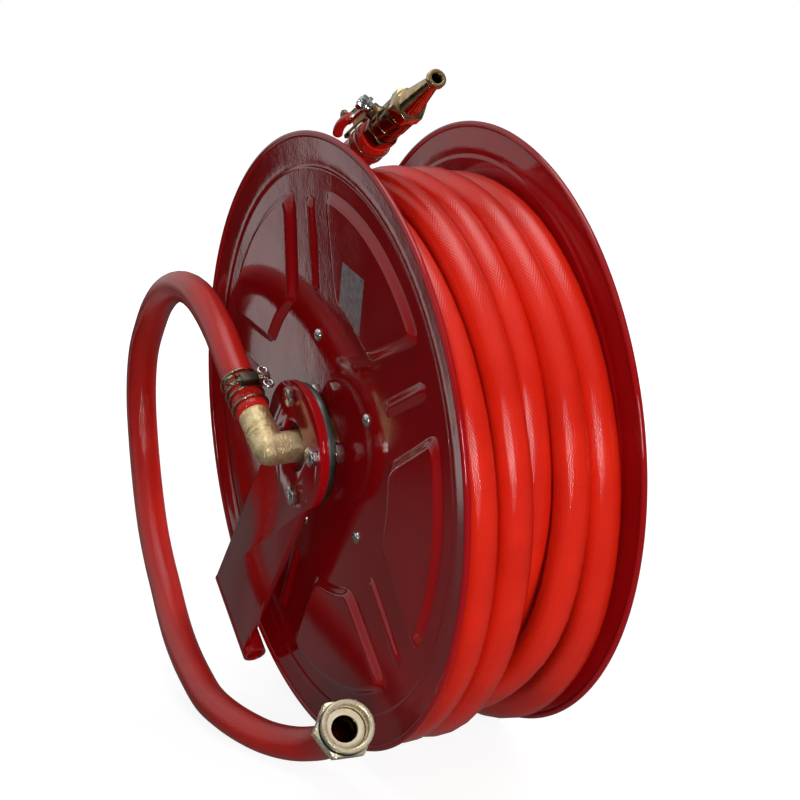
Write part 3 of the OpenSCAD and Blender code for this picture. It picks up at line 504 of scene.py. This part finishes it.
def cut(piece, cutter, operation="DIFFERENCE"):
    """Cut a piece with another mesh, which is used up."""
    apply(piece, "BOOLEAN", object=cutter, operation=operation, solver="EXACT")
    bpy.data.objects.remove(cutter)


def slab(name, low, high):
    """A block between two corners, in millimetres, as the start of a piece or a cutter."""
    bpy.ops.object.select_all(action="DESELECT")
    bpy.ops.mesh.primitive_cube_add(size=1)
    block = bpy.context.object
    block.name = name
    size = [(b - a) / 1000 for a, b in zip(low, high)]
    middle = [(a + b) / 2000 for a, b in zip(low, high)]
    block.data.transform(Matrix.Translation(middle) @ Matrix.Diagonal((*size, 1)))
    return block


def plated(name, colour, low, high, pit=0.04):
    """Zinc or chrome on steel: bright, with faint mottling and fine scratches."""
    made, tree, shader, place = blank_material(name, colour, low, 1.0)
    mottled(tree, shader, place, 0.006, [c * 0.78 for c in colour], colour)
    raised(tree, shader, noise(tree, place, 900, 4), pit, 0.0005)
    rough_between(tree, shader, place, 0.004, low, high)
    return made


bright_zinc = plated("bright_zinc", (0.72, 0.72, 0.70), 0.16, 0.34)
screw_circle = 80
pan_head = [(0, 2.6), (2.2, 2.5), (3.7, 2.0), (4.6, 1.1), (4.8, 0.3), (4.8, 0), (2, 0),
            (2, -6.6), (0, -6.6)]
for side, node in ((-1, "near_disc_screws"), (1, "far_disc_screws")):
    heads = []
    for k in range(petals):
        head = drawn_and_spun(node + "_dressed", pan_head, 32)
        for long, wide in ((2.6, 0.55), (0.55, 2.6)):
            cut(head, slab("recess", (-long, -wide, 1.3), (long, wide, 4)))
        turn = math.radians(bead_turn + fifth * k)
        way = Vector((0, math.cos(turn), math.sin(turn)))
        spot = at(side * face_out, screw_circle * way.y, screw_circle * way.z)
        recess_way = (0, 0.6 + 0.2 * k, 1 - 0.3 * k)
        heads.append(settle(head, facing(spot, (side, 0, 0), recess_way), 0.15))
    finished(joined(heads), bright_zinc, "reel", node)

# ---- drum, hub and rotary joint ----
# The drum is rolled from steel sheet; the hub plates carry the bronze bushes that run on the
# axle. Inside, the rotary joint's cast housing passes the water to the hose through an elbow.
drum_steel = plated("drum_steel", (0.33, 0.33, 0.33), 0.35, 0.5, 0.15)
hub_red = enamel("hub_enamel")


def brass(name, dark, light, low, high, grit, grit_size, metal=1.0):
    """Copper alloy, turned or cast: its tone and gloss wander, and grit roughens the surface."""
    made, tree, shader, place = blank_material(name, light, low, metal)
    mottled(tree, shader, place, 0.005, dark, light, 0.32, 0.6)
    raised(tree, shader, noise(tree, place, 1000 / grit_size, 5), grit, 0.001)
    rough_between(tree, shader, place, 0.004, low, high)
    return made


def rubber(name, dark, light, rough):
    """Moulded rubber or plastic with a dull, slightly grainy skin."""
    made, tree, shader, place = blank_material(name, light, rough)
    mottled(tree, shader, place, 0.01, dark, light)
    raised(tree, shader, noise(tree, place, 1600, 3), 0.15, 0.0004)
    return made


# Painted shade: the bushes' bronze has a base colour far darker than bronze's own, for the dark hub
# between flange and disc.
bronze = brass("bush_bronze", (0.16, 0.09, 0.04), (0.24, 0.14, 0.06), 0.3, 0.45, 0.05, 1)
cast_brass = brass("cast_brass", (0.74, 0.53, 0.24), (1.0, 0.82, 0.48), 0.3, 0.42, 0.6, 0.9, 0.9)
# Painted reflection: the turned brass has a base colour far darker than brass's own, standing in for the
# dark room that it mirrors.
turned_brass = brass("turned_brass", (0.15, 0.09, 0.045), (0.28, 0.18, 0.09), 0.12, 0.26, 0.05, 1)
black_rubber = rubber("seal_rubber", (0.008, 0.008, 0.008), (0.02, 0.02, 0.02), 0.55)
white_plastic = rubber("seat_plastic", (0.66, 0.57, 0.40), (0.80, 0.72, 0.55), 0.4)
kept = {"weld_nuts": bright_zinc, "drum_shell": drum_steel, "near_hub_plate": hub_red,
        "far_hub_plate": hub_red, "near_bush": bronze, "far_bush": bronze,
        "swivel_housing": cast_brass, "o_rings": black_rubber, "outlet_elbow": cast_brass,
        "outlet_clamp": bright_zinc, "nozzle_tail": turned_brass, "valve_seats": white_plastic,
        "valve_ball": bright_zinc, "axle": drum_steel, "axle_washer": bright_zinc}
for node, material in kept.items():
    for held in nodes[node].material_slots:
        held.material = material

# ---- nozzle clamp ----
# Two wires of bright steel round the hose's end, pulled up by a brass strap with a post,
# through which a knurled brass screw passes.
wire_ring, wire_section = 0.01375, 0.00095


def on_nozzle(x, y, z):
    """A place in the nozzle's frame: z along the jet from the hose's end, y up, in millimetres."""
    return nozzle_root + (Vector((x, 0, 0)) + y * nozzle_up + z * nozzle_way) / 1000


def wire_rings(name, rings, place_of):
    """Wire loops at several places along a hose, as one piece."""
    loops = []
    for z in rings:
        bpy.ops.object.select_all(action="DESELECT")
        bpy.ops.mesh.primitive_torus_add(major_radius=wire_ring, minor_radius=wire_section,
                                         major_segments=96, minor_segments=12)
        loop = bpy.context.object
        loop.name = name
        bpy.ops.object.shade_smooth()
        loop.data.transform(place_of(z))
        loops.append(loop)
    return joined(loops)


bright_steel = plated("clamp_wire", (0.62, 0.58, 0.50), 0.15, 0.28)
nozzle_wires = wire_rings("nozzle_clamp_wires", (-11, -22),
                          lambda z: facing(on_nozzle(0, 0, z), nozzle_way, (1, 0, 0)))
finished(nozzle_wires, bright_steel, "reel", "nozzle_clamp")
nozzle_place = facing(nozzle_root, nozzle_way, (1, 0, 0))
strap = slab("nozzle_clamp_strap", (-5, 14.15, -45), (5, 17.15, -7))
for part in (slab("foot", (-5, 14.16, -44.99), (12, 17.14, -37)),
             slab("post", (4, 14.3, -44.98), (12, 34.5, -37.01))):
    cut(strap, part, "UNION")
bpy.ops.mesh.primitive_cylinder_add(vertices=32, radius=0.00235, depth=0.02,
                                    rotation=(0, math.pi / 2, 0), location=(0.008, 0.0305, -0.041))
cut(strap, bpy.context.object)
settle(strap, nozzle_place, 0.8, 3)
finished(strap, turned_brass, "reel", "nozzle_clamp_block")
knob = [(0, 0), (3.6, 0), (4.3, 0.6), (4.3, 2.9), (3.7, 3.5), (2.3, 3.5)]
for turn in range(12):
    knob += [(2.3, 4.2 + turn * 1.2), (2.0, 4.8 + turn * 1.2)]
screw = drawn_and_spun("nozzle_clamp_thumbscrew", knob + [(1.6, 19), (0, 19)], 32)
settle(screw, facing(on_nozzle(-5, 30.5, -41), (1, 0, 0), (0, 0, 1)), 0.12)
finished(screw, turned_brass, "reel", "nozzle_clamp_screw")

# ---- ball valve and jet ----
# The valve's body is a turned brass bar with a hexagon at the hose's end and a boss for the
# stem; the tapered jet screws in with a hexagon of its own and ends in a flat ring.


def hexagon_bar(name, flats, low, high, chamfer, turned=0.0):
    """A hexagon across its flats with its corners turned off to a cone at both ends."""
    bpy.ops.object.select_all(action="DESELECT")
    corner_r = flats / math.sqrt(3)
    bpy.ops.mesh.primitive_cylinder_add(vertices=6, radius=corner_r / 1000,
                                        depth=(high - low) / 1000, rotation=(0, 0, turned),
                                        location=(0, 0, (low + high) / 2000))
    bar = bpy.context.object
    bar.name = name
    bpy.ops.object.transform_apply()
    past, fall = corner_r + 0.2, chamfer * 0.75
    cone = drawn_and_spun("cone", [(0, low), (corner_r - chamfer, low), (past, low + fall),
                          (past, high - fall), (corner_r - chamfer, high), (0, high)], 96)
    cut(bar, cone, "INTERSECT")
    return bar


def drill(radius, low, high, steps=48):
    """A round cutter between two heights."""
    return drawn_and_spun("drill", [(0, low), (radius, low), (radius, high), (0, high)], steps)


jet_brass = brass("jet_brass", (0.42, 0.29, 0.13), (0.64, 0.49, 0.27), 0.10, 0.22, 0.03, 1)
valve_flats = 23
stem_at = 19              # place of the stem along the nozzle
stem_roll = math.radians(44)
unmoved = Matrix.Identity(4)
hex_part = hexagon_bar("valve_body_dressed", valve_flats, 2.05, 12, 1.5, math.pi / 2)
barrel = drawn_and_spun("barrel", [(8.45, 2.05), (8.45, 8.05), (6.6, 8.05), (6.6, 10.5),
                        (9.1, 10.5), (9.1, 45.95), (11.6, 45.95), (12, 45.5), (12, 43),
                        (11.7, 42.7), (11.7, 42.0), (12, 41.7), (12, 26.5), (11.5, 26),
                        (11.0, 25.8), (11.0, 24.9), (11.5, 24.6), (11.5, 13.6), (11.1, 13.2),
                        (11.1, 11.9), (10.4, 11.9), (10.4, 2.05), (8.45, 2.05)], 72)
cut(hex_part, drill(8.6, 0, 13))
settle(hex_part, unmoved, 0.25)
settle(barrel, unmoved, 0.15)
boss = drawn_and_spun("boss", [(3.05, 9.3), (3.05, 17), (5.5, 17), (6, 16.5), (6, 12.8),
                      (6.6, 11.6), (7.4, 10.9), (7.4, 9.3), (3.05, 9.3)], 48)
stem_across = Vector((math.cos(stem_roll), 0, 0)) + math.sin(stem_roll) * nozzle_up
stem_way = Vector((-math.sin(stem_roll), 0, 0)) + math.cos(stem_roll) * nozzle_up
stem_spot = on_nozzle(0, 0, stem_at)
settle(boss, nozzle_place.inverted() @ facing(stem_spot, stem_way, stem_across), 0.2)
body = joined([hex_part, barrel, boss])
body.data.transform(nozzle_place)
valve = finished(body, turned_brass, "reel", "valve_body")
jet_hex = hexagon_bar("jet_dressed", valve_flats, 46.05, 58, 1.7, math.pi / 2)
cut(jet_hex, drill(7.2, 45, 59))
cone = drawn_and_spun("cone", [(6.6, 27.6), (9.05, 27.6), (9.05, 47), (7.4, 47), (7.4, 57.6),
                      (10.2, 57.6), (10.2, 58.3), (9.4, 58.9), (4.8, 95.5), (4.9, 97.2),
                      (5.8, 98.2), (6.5, 98.6), (6.8, 99.1), (6.8, 102.3), (6.3, 103),
                      (4.2, 103), (3.5, 101.6), (3.5, 94), (6.6, 58), (6.6, 27.6)], 72)
settle(jet_hex, unmoved, 0.3)
settle(cone, unmoved, 0.15)
jet = joined([jet_hex, cone])
jet.data.transform(nozzle_place)
jet = finished(jet, jet_brass, "reel", "jet_nozzle")

# ---- valve lever ----
# A stamped steel lever on the stem, held by a domed nut; its bar bows back over the hose and
# wears a thin red sleeve.
chrome = plated("lever_chrome", (0.80, 0.80, 0.80), 0.08, 0.18, 0.02)
bar_front, bar_back = -3, -35        # the bar's two ends along the nozzle
bow_r = 45
bow = math.asin((bar_front - bar_back) / (2 * bow_r))
bow_middle = (0, stem_at - (bar_front + bar_back) / 2, 1.25 - bow_r * math.cos(bow))
late = math.radians(6)               # the sleeve starts this much later than the bar


def pipe(name, inner, outer, low, high, steps):
    """A plain ring or tube between two heights."""
    return drawn_and_spun(name, [(inner, low), (outer, low), (outer, high), (inner, high),
                          (inner, low)], steps)


def bar_along(name, start, end, section):
    """A round bar or sleeve along the lever's bow, from one angle to another."""
    bends = [start + (end - start) * k / 24 for k in range(25)]
    points = [Vector((0, bow_middle[1] + bow_r * math.sin(bend),
                      bow_middle[2] + bow_r * math.cos(bend))) / 1000 for bend in bends]
    return hose_along(name, points, section / 500)


lever_place = facing(stem_spot + 0.0195 * stem_way, stem_way, stem_across)
stem = drawn_and_spun("valve_stem_dressed", [(0, -10.7), (3, -10.7), (3, -2.45), (4.2, -2.45),
                      (4.5, -2.2), (4.5, -0.3), (4.3, -0.05), (3, -0.05), (3, 7.4), (2.5, 8),
                      (0, 8)], 40)
tang = slab("tang", (-1.5, -2.6, -12.6), (1.5, 2.6, -10.4))
stem = joined([settle(stem, unmoved, 0.1), settle(tang, unmoved, 0.2)])
stem.data.transform(lever_place)
finished(stem, chrome, "lever", "valve_stem")
stamped = pipe("valve_lever_dressed", 3.05, 7, 0, 2.5, 48)
cut(stamped, slab("arm", (-5.5, 3.4, 0.01), (5.5, 25, 2.49)), "UNION")
settle(stamped, unmoved, 0.45, 3)
lever = joined([stamped, bar_along("bar", -bow, bow, 2)])
lever.data.transform(lever_place)
finished(lever, chrome, "lever", "valve_lever")
grip_red = rubber("grip_red", (0.55, 0.008, 0.008), (0.70, 0.016, 0.012), 0.28)
sleeve = bar_along("lever_grip", late - bow, bow, 3.8)
sleeve.data.transform(lever_place)
finished(sleeve, grip_red, "lever", "lever_sleeve")
nut = hexagon_bar("lever_nut_dressed", 10, 2.55, 6.9, 0.9)
dome = drawn_and_spun("dome", [(3.05, 6.0), (4.9, 6.0), (4.9, 6.9), (4.6, 7.05), (3.9, 7.05),
                      (3.05, 7.05), (3.05, 6.0)], 40)
cut(nut, drill(3.06, 2, 9, 32))
nut = joined([settle(nut, unmoved, 0.3, 3), settle(dome, unmoved, 0.2)])
nut.data.transform(lever_place)
lever_nut = finished(nut, chrome, "lever", "lever_nut")

# ---- swing arm ----
# A flame-cut steel plate with a round head, a straight hinge tube welded across its end and a
# thin backing plate behind the head; all enamelled with the discs.
arm_fall = math.radians(50.5)
arm_way = Vector((0, math.cos(arm_fall), -math.sin(arm_fall)))
arm_place = facing(axle, (1, 0, 0), arm_way)
arm_red = enamel("arm_enamel")
plate_front, plate_back = -90.4, -85.4
bolt_circle = 37.5


def disc_blank(name, radius, low, high, x=0.0, y=0.0):
    """A round plate or round cutter between two heights."""
    bpy.ops.object.select_all(action="DESELECT")
    bpy.ops.mesh.primitive_cylinder_add(vertices=96, radius=radius / 1000,
                                        depth=(high - low) / 1000,
                                        location=(x / 1000, y / 1000, (low + high) / 2000))
    blank = bpy.context.object
    blank.name = name
    bpy.ops.object.transform_apply()
    return blank


plate = disc_blank("swing_arm_plate", 49, plate_front, plate_back)
cut(plate, slab("strip", (0, -41.5, -90.395), (223, 30.5, -85.405)), "UNION")
cut(plate, disc_blank("hole", 19.3, -95, -80))
bolt_ways = []
for k in range(4):
    turn = math.radians(-2.5 + 90 * k)
    way = Vector((0, math.cos(turn), math.sin(turn)))
    bolt_ways.append(way)
    flat = arm_place.to_3x3().inverted() @ way
    cut(plate, disc_blank("hole", 4.2, -95, -80, bolt_circle * flat.x, bolt_circle * flat.y))
settle(plate, arm_place, 0.7, 3)
finished(plate, arm_red, "frame", "arm_plate")
hinge = pipe("hinge_tube_dressed", 6.1, 9.5, -39, 39, 64)
hinge_spot = arm_place @ Vector((0.227, -0.0075, -0.0809))
settle(hinge, facing(hinge_spot, arm_place.to_3x3() @ Vector((0, 1, 0)), (1, 0, 0)), 0.5, 3)
finished(hinge, arm_red, "frame", "hinge_tube")
ring = pipe("backing_plate", 19.3, 48, 82.92, 85.38, 128)
head_place = facing(axle, (-1, 0, 0), (0, 0, 1))
settle(ring, head_place, 0.5, 3)
finished(ring, arm_red, "frame", "back_plate")

# ---- bearing flange and hub bolts ----
# A zinc-plated flange is welded on the axle; four hexagon bolts with spring washers and nuts
# clamp it to the arm's head.
flange_zinc = plated("flange_zinc", (0.15, 0.19, 0.175), 0.35, 0.55, 0.1)
flange = drawn_and_spun("bearing_flange_dressed", [(19.05, 76.9), (45.2, 76.9), (46, 77.7),
                        (46, 82.1), (45.4, 82.88), (19.05, 82.88), (19.05, 76.9)], 128)
settle(flange, head_place, 0.2)
finished(flange, flange_zinc, "frame", "bearing_flange")
bolts, washers, nuts = [], [], []
for k, way in enumerate(bolt_ways):
    bolt_place = facing(axle + bolt_circle / 1000 * way, (-1, 0, 0), way)
    head = hexagon_bar("hub_bolt_heads", 13, 90.4, 95.7, 1.2, 0.5 + 0.35 * k)
    settle(head, bolt_place, 0.25)
    shank = drawn_and_spun("shank", [(0, 68), (3.2, 68), (4, 68.8), (4, 91), (0, 91)], 32)
    bolts += [head, settle(shank, bolt_place, 0)]
    washer = pipe("hub_spring_washers", 4.2, 6.4, 75.3, 76.9, 40)
    washers.append(settle(washer, bolt_place, 0.2))
    nut = hexagon_bar("hub_bolt_nuts", 13, 69, 75.28, 1.2, 0.3 * k)
    cut(nut, disc_blank("bore", 4.05, 60, 80))
    nuts.append(settle(nut, bolt_place, 0.25))
finished(joined(bolts), bright_zinc, "frame", "hub_bolts")
finished(joined(washers), bright_zinc, "frame", "spring_washers")
finished(joined(nuts), bright_zinc, "frame", "hub_nuts")
far_nut = hexagon_bar("axle_nut_dressed", 41, 69.56, 81.53, 3)
cut(far_nut, disc_blank("bore", 15.05, 60, 90))
settle(far_nut, facing(axle, (1, 0, 0), (0, 1, 0)), 0.4)
finished(far_nut, bright_zinc, "frame", "axle_nut")

# ---- inlet elbow ----
# A sand-cast brass elbow, left rough outside, with two thin ridges on its outlet and barbs
# that the lead-in hose is pushed over.
elbow_rise = math.radians(34)
out_way = Vector((0, math.cos(elbow_rise), math.sin(elbow_rise)))
corner = at(-110, 0, 0)
outlet_place = facing(corner, out_way, (1, 0, 0))


def barbs(start, step, count):
    """The saw-toothed outline of a hose tail, from its start to its end."""
    return [(9.45 if k % 2 else 8.8, start + step * k) for k in range(count)]


leg = drawn_and_spun("cast_inlet_elbow", [(0, 0), (12, 0), (12, 27.05), (11.4, 27.3),
                     (11.4, 47.1), (0, 47.1)], 64)
leg.data.transform(outlet_place.inverted() @ facing(corner, (1, 0, 0), (0, 0, 1)))
outlet = drawn_and_spun("outlet", [(0, 0), (12, 0), (12.1, 12.6), (12.75, 13.2), (12.75, 14.4),
                        (12.05, 15), (12.05, 17), (12.7, 17.6), (12.7, 18.6), (12, 19.2),
                        (11.9, 34), (11.6, 34.9), (0, 34.9)], 64)
bpy.ops.mesh.primitive_uv_sphere_add(segments=64, ring_count=32, radius=0.01215)
knee = bpy.context.object
cut(leg, outlet, "UNION")
cut(leg, knee, "UNION")
apply(leg, "REMESH", mode="VOXEL", voxel_size=0.0007)
apply(leg, "SMOOTH", factor=0.5, iterations=3)
sand = bpy.data.textures.new("sand", "CLOUDS")
sand.noise_scale = 0.0016
sand.noise_depth = 1
apply(leg, "DISPLACE", texture=sand, strength=0.00045, mid_level=0.5, texture_coords="LOCAL")
tail = drawn_and_spun("tail", [(0, 34.5), (8.8, 34.5), *barbs(35, 3, 10), (8.8, 65), (0, 65)], 48)
leg = joined([leg, tail])
bpy.ops.object.shade_smooth_by_angle(angle=math.radians(50))
leg.data.transform(outlet_place)
finished(leg, cast_brass, "frame", "inlet_elbow")

# ---- elbow clamp ----
# A double wire clamp of yellow-plated steel: four loops round the hose, a dark block between
# them, an eye screw through the block and a wing nut with curled wings.
yellow_steel = plated("yellow_steel", (0.46, 0.40, 0.25), 0.2, 0.36)
dark_steel = plated("block_steel", (0.10, 0.09, 0.07), 0.3, 0.45, 0.2)
wires = wire_rings("elbow_clamp_wires", (42, 51.5, 57.5, 69),
                   lambda z: facing(corner + z / 1000 * out_way, out_way, (1, 0, 0)))
finished(wires, yellow_steel, "frame", "elbow_clamp")
clamp_up = Vector((0, -math.sin(elbow_rise), math.cos(elbow_rise)))
clamp_middle = corner + (54.5 * out_way + 18.25 * clamp_up) / 1000
clamp_place = facing(clamp_middle, out_way, (1, 0, 0))
block = slab("elbow_clamp_block_dressed", (-8, -3.5, -4.5), (6, 3.5, 4.5))
bpy.ops.mesh.primitive_cylinder_add(vertices=32, radius=0.00225, depth=0.03,
                                    rotation=(0, math.pi / 2, 0))
cut(block, bpy.context.object)
settle(block, clamp_place, 0.9, 4)
finished(block, dark_steel, "frame", "elbow_clamp_block")
thread = [(0, -12), (2.2, -12)]
for k in range(27):
    thread += [(2.2, -11.6 + k), (1.95, -11.1 + k)]
rod = drawn_and_spun("elbow_clamp_eye_screw", thread + [(1.8, 16), (0, 16)], 24)
rod.data.transform(Matrix.Rotation(math.pi / 2, 4, "Y"))
bpy.ops.object.select_all(action="DESELECT")
bpy.ops.mesh.primitive_torus_add(major_radius=0.0044, minor_radius=0.0013, major_segments=48,
                                 minor_segments=12, location=(-0.0150, 0, 0))
eye = bpy.context.object
bpy.ops.object.transform_apply()
rod = settle(joined([rod, eye]), clamp_place, 0)
finished(rod, yellow_steel, "frame", "elbow_clamp_screw")
boss = drawn_and_spun("wing_nut_dressed", [(2.25, 9.5), (3.8, 9.5), (3.6, 12.5), (3.1, 15.5),
                      (2.25, 15.5), (2.25, 9.5)], 40)
boss.data.transform(Matrix.Rotation(math.pi / 2, 4, "Y"))
wings = [boss]
for side in (-1, 1):
    bpy.ops.object.select_all(action="DESELECT")
    bpy.ops.mesh.primitive_torus_add(major_radius=0.0033, minor_radius=0.0013, major_segments=48,
                                     minor_segments=12, rotation=(math.pi / 2, 0, 0),
                                     location=(0.0125, 0, side * 0.0065))
    wings.append(bpy.context.object)
    bpy.ops.object.transform_apply()
wing_nut = settle(joined(wings), clamp_place, 0)
finished(wing_nut, bright_zinc, "frame", "wing_nut")

# ---- coupling ----
# The swivel nut on the lead-in hose: a turned brass mouth with an inside thread, a black ring
# in a groove, and a hexagon; it turns on the flange of the hose tail, against a flat washer.
pale_brass = brass("pale_brass", (0.82, 0.68, 0.42), (1.0, 0.90, 0.66), 0.2, 0.36, 0.06, 1, 0.65)
nut_turn = math.radians(8)
coupling_place = facing(at(*nut_mouth), nut_way, (math.cos(nut_turn), -math.sin(nut_turn), 0))
mouth = [(15.65, -16.05), (15.65, -11.2), (15.15, -10.9)]
for k in range(4):
    mouth += [(15.15, -10.2 + 2.3 * k), (15.7, -9.1 + 2.3 * k)]
mouth += [(15.15, -1.2), (15.6, -0.4), (16.4, 0), (18.3, 0), (19, -0.7), (19, -5.9), (18.7, -6.3),
          (17.9, -6.3), (17.9, -10.4), (15.65, -10.4), (15.65, -16.05)]
shell = drawn_and_spun("coupling_nut_dressed", mouth, 96)
hexed = hexagon_bar("hexed", 39, -20.05, -10.05, 2.2, math.pi / 2)
cut(hexed, disc_blank("bore", 15.66, -16.05, -5))
cut(hexed, disc_blank("neck", 11.45, -25, -5))
nut = joined([settle(shell, unmoved, 0.15), settle(hexed, unmoved, 0.35, 3)])
nut.data.transform(coupling_place)
coupling_nut = finished(nut, pale_brass, "coupling", "coupling_nut")
ring = drawn_and_spun("coupling_black_ring", [(17.95, -10.0), (19, -10.0), (19.4, -9.6),
                      (19.5, -8.2), (19.3, -6.8), (18.9, -6.35), (17.95, -6.35), (17.95, -10.0)], 96)
finished(settle(ring, coupling_place, 0), black_rubber, "coupling", "coupling_ring")
washer = pipe("coupling_flat_washer", 9.8, 14.4, -12.9, -11.3, 72)
settle(washer, coupling_place, 0.2)
finished(washer, white_plastic, "frame", "coupling_washer")
tail = drawn_and_spun("coupling_hose_tail", [(9.3, -12.95), (14.4, -12.95), (14.4, -15.95),
                      (11.4, -15.95), (11.4, -20.1), (12.7, -20.1), (12.7, -tail_back), *barbs(-28, -3, 9),
                      (8.8, -55.1), (7.6, -55.1), (7.6, -22), (9.3, -20), (9.3, -12.95)], 72)
finished(settle(tail, coupling_place, 0.2), turned_brass, "frame", "coupling_tail")

# ---- floor and light ----
# A pale studio floor and a white surround. A broad lamp in front, one overhead and one behind
# give soft light, and a narrow strip in front on the left gives the glints along the hose.
bpy.ops.object.select_all(action="DESELECT")
bpy.ops.mesh.primitive_plane_add(size=12, location=(0, 0, cad_box[0][2] - 0.0005))
floor = bpy.context.object
floor.name = "studio_floor"
floor_white, tree, shader, place = blank_material("floor_white", (0.25, 0.25, 0.25), 0.9)
shader.inputs["Specular IOR Level"].default_value = 0


def slant(tree, parts, x, y):
    """How far a place or a way lies along a line: so much of its X and so much of its Y."""
    return sum_of(tree, "ADD", sum_of(tree, "MULTIPLY", parts.outputs["X"], x),
                  sum_of(tree, "MULTIPLY", parts.outputs["Y"], y))


def plain_view(tree, seen):
    """1 for what the camera sees straight on or through something clear."""
    return sum_of(tree, "MAXIMUM", seen.outputs["Is Camera Ray"],
                  seen.outputs["Is Transmission Ray"])


seen = add_node(tree, "ShaderNodeLightPath")
far_off = add_node(tree, "ShaderNodeVectorMath", [(0, place)], operation="LENGTH").outputs["Value"]
glow = sum_of(tree, "MULTIPLY", plain_view(tree, seen), ramp(tree, far_off, 0.4, 1.2, 0.88, 1.0))
paper = add_node(tree, "ShaderNodeEmission", [("Strength", glow)])
paper.inputs["Color"].default_value = (1, 1, 1, 1)
both = add_node(tree, "ShaderNodeAddShader", [(0, shader.outputs[0]), (1, paper.outputs[0])])
# Painted reflection: seen only in the gloss, the floor glows, bright in a field behind the reel on the
# left and dark round it.
parts = add_node(tree, "ShaderNodeSeparateXYZ", [("Vector", place)])
away = slant(tree, parts, -0.434, 0.9)
left_edge = ramp(tree, slant(tree, parts, 2.4, 1), -0.20, -0.14, 0, 1)
right_edge = ramp(tree, slant(tree, parts, 2.7, 1), -0.05, 0.03, 1, 0)
far_end = ramp(tree, away, 0.34, 0.52, 0.05, 0.95)
round_it = ramp(tree, away, 0.3, 0.7, 0.11, 0.02)
painted_bright_field = sum_of(tree, "MULTIPLY", sum_of(tree, "MULTIPLY", left_edge, right_edge), far_end)
# This glow is a painted reflection: glossy rays alone see it.
painted_reflection_glow = add_node(tree, "ShaderNodeEmission", [("Strength", sum_of(tree, "ADD", painted_bright_field, round_it))])
split = add_node(tree, "ShaderNodeMixShader", [("Fac", seen.outputs["Is Glossy Ray"]),
                 (1, both.outputs[0]), (2, painted_reflection_glow.outputs[0])])
tree.links.new(split.outputs[0], tree.nodes["Material Output"].inputs["Surface"])
floor.data.materials.append(floor_white)

world = bpy.data.worlds.new("studio")
bpy.context.scene.world = world
world.use_nodes = True
tree = world.node_tree
around = tree.nodes["Background"]
around.inputs["Color"].default_value = (1, 1, 1, 1)
around.inputs["Strength"].default_value = 0.13
way = add_node(tree, "ShaderNodeTexCoord").outputs["Generated"]
parts = add_node(tree, "ShaderNodeSeparateXYZ", [("Vector", way)])
behind = ramp(tree, slant(tree, parts, -0.6, 0.8), 0.3, 0.9, 0.08, 0.8)
above = ramp(tree, parts.outputs["Z"], 0.3, 0.9, 0, 0.5)
mirrored = add_node(tree, "ShaderNodeBackground",
                    [("Strength", sum_of(tree, "ADD", behind, above))])
seen = add_node(tree, "ShaderNodeLightPath")
gloss = add_node(tree, "ShaderNodeMixShader", [("Fac", seen.outputs["Is Glossy Ray"]),
                 (1, around.outputs[0]), (2, mirrored.outputs[0])])
white = add_node(tree, "ShaderNodeBackground", Strength=1.0)
white.inputs["Color"].default_value = (1, 1, 1, 1)
mix = add_node(tree, "ShaderNodeMixShader", [("Fac", plain_view(tree, seen)),
               (1, gloss.outputs[0]), (2, white.outputs[0])])
tree.links.new(mix.outputs[0], tree.nodes["World Output"].inputs["Surface"])

# The key and the fill give light without a mirror image of themselves.
aimed_at = Vector((0.08, -0.14, 0.18))
for name, place, wide, tall, power, glints in (
        ("key", (-0.05, -2.05, 0.60), 0.7, 0.7, 18, False),
        ("strip", (-0.57, -1.42, 0.36), 0.055, 0.46, 5.0, True),
        ("top", (0.2, -0.1, 2.2), 1.4, 1.6, 16, True),
        ("fill", (1.5, 0.7, 0.9), 1.2, 1.2, 24, False)):
    lamp = bpy.data.lights.new(name, "AREA")
    lamp.shape = "RECTANGLE"
    lamp.size = wide
    lamp.size_y = tall
    lamp.energy = power
    stand = bpy.data.objects.new(name, lamp)
    stand.location = place
    stand.rotation_euler = (aimed_at - stand.location).to_track_quat("-Z", "Y").to_euler()
    stand.visible_glossy = glints
    bpy.context.scene.collection.objects.link(stand)
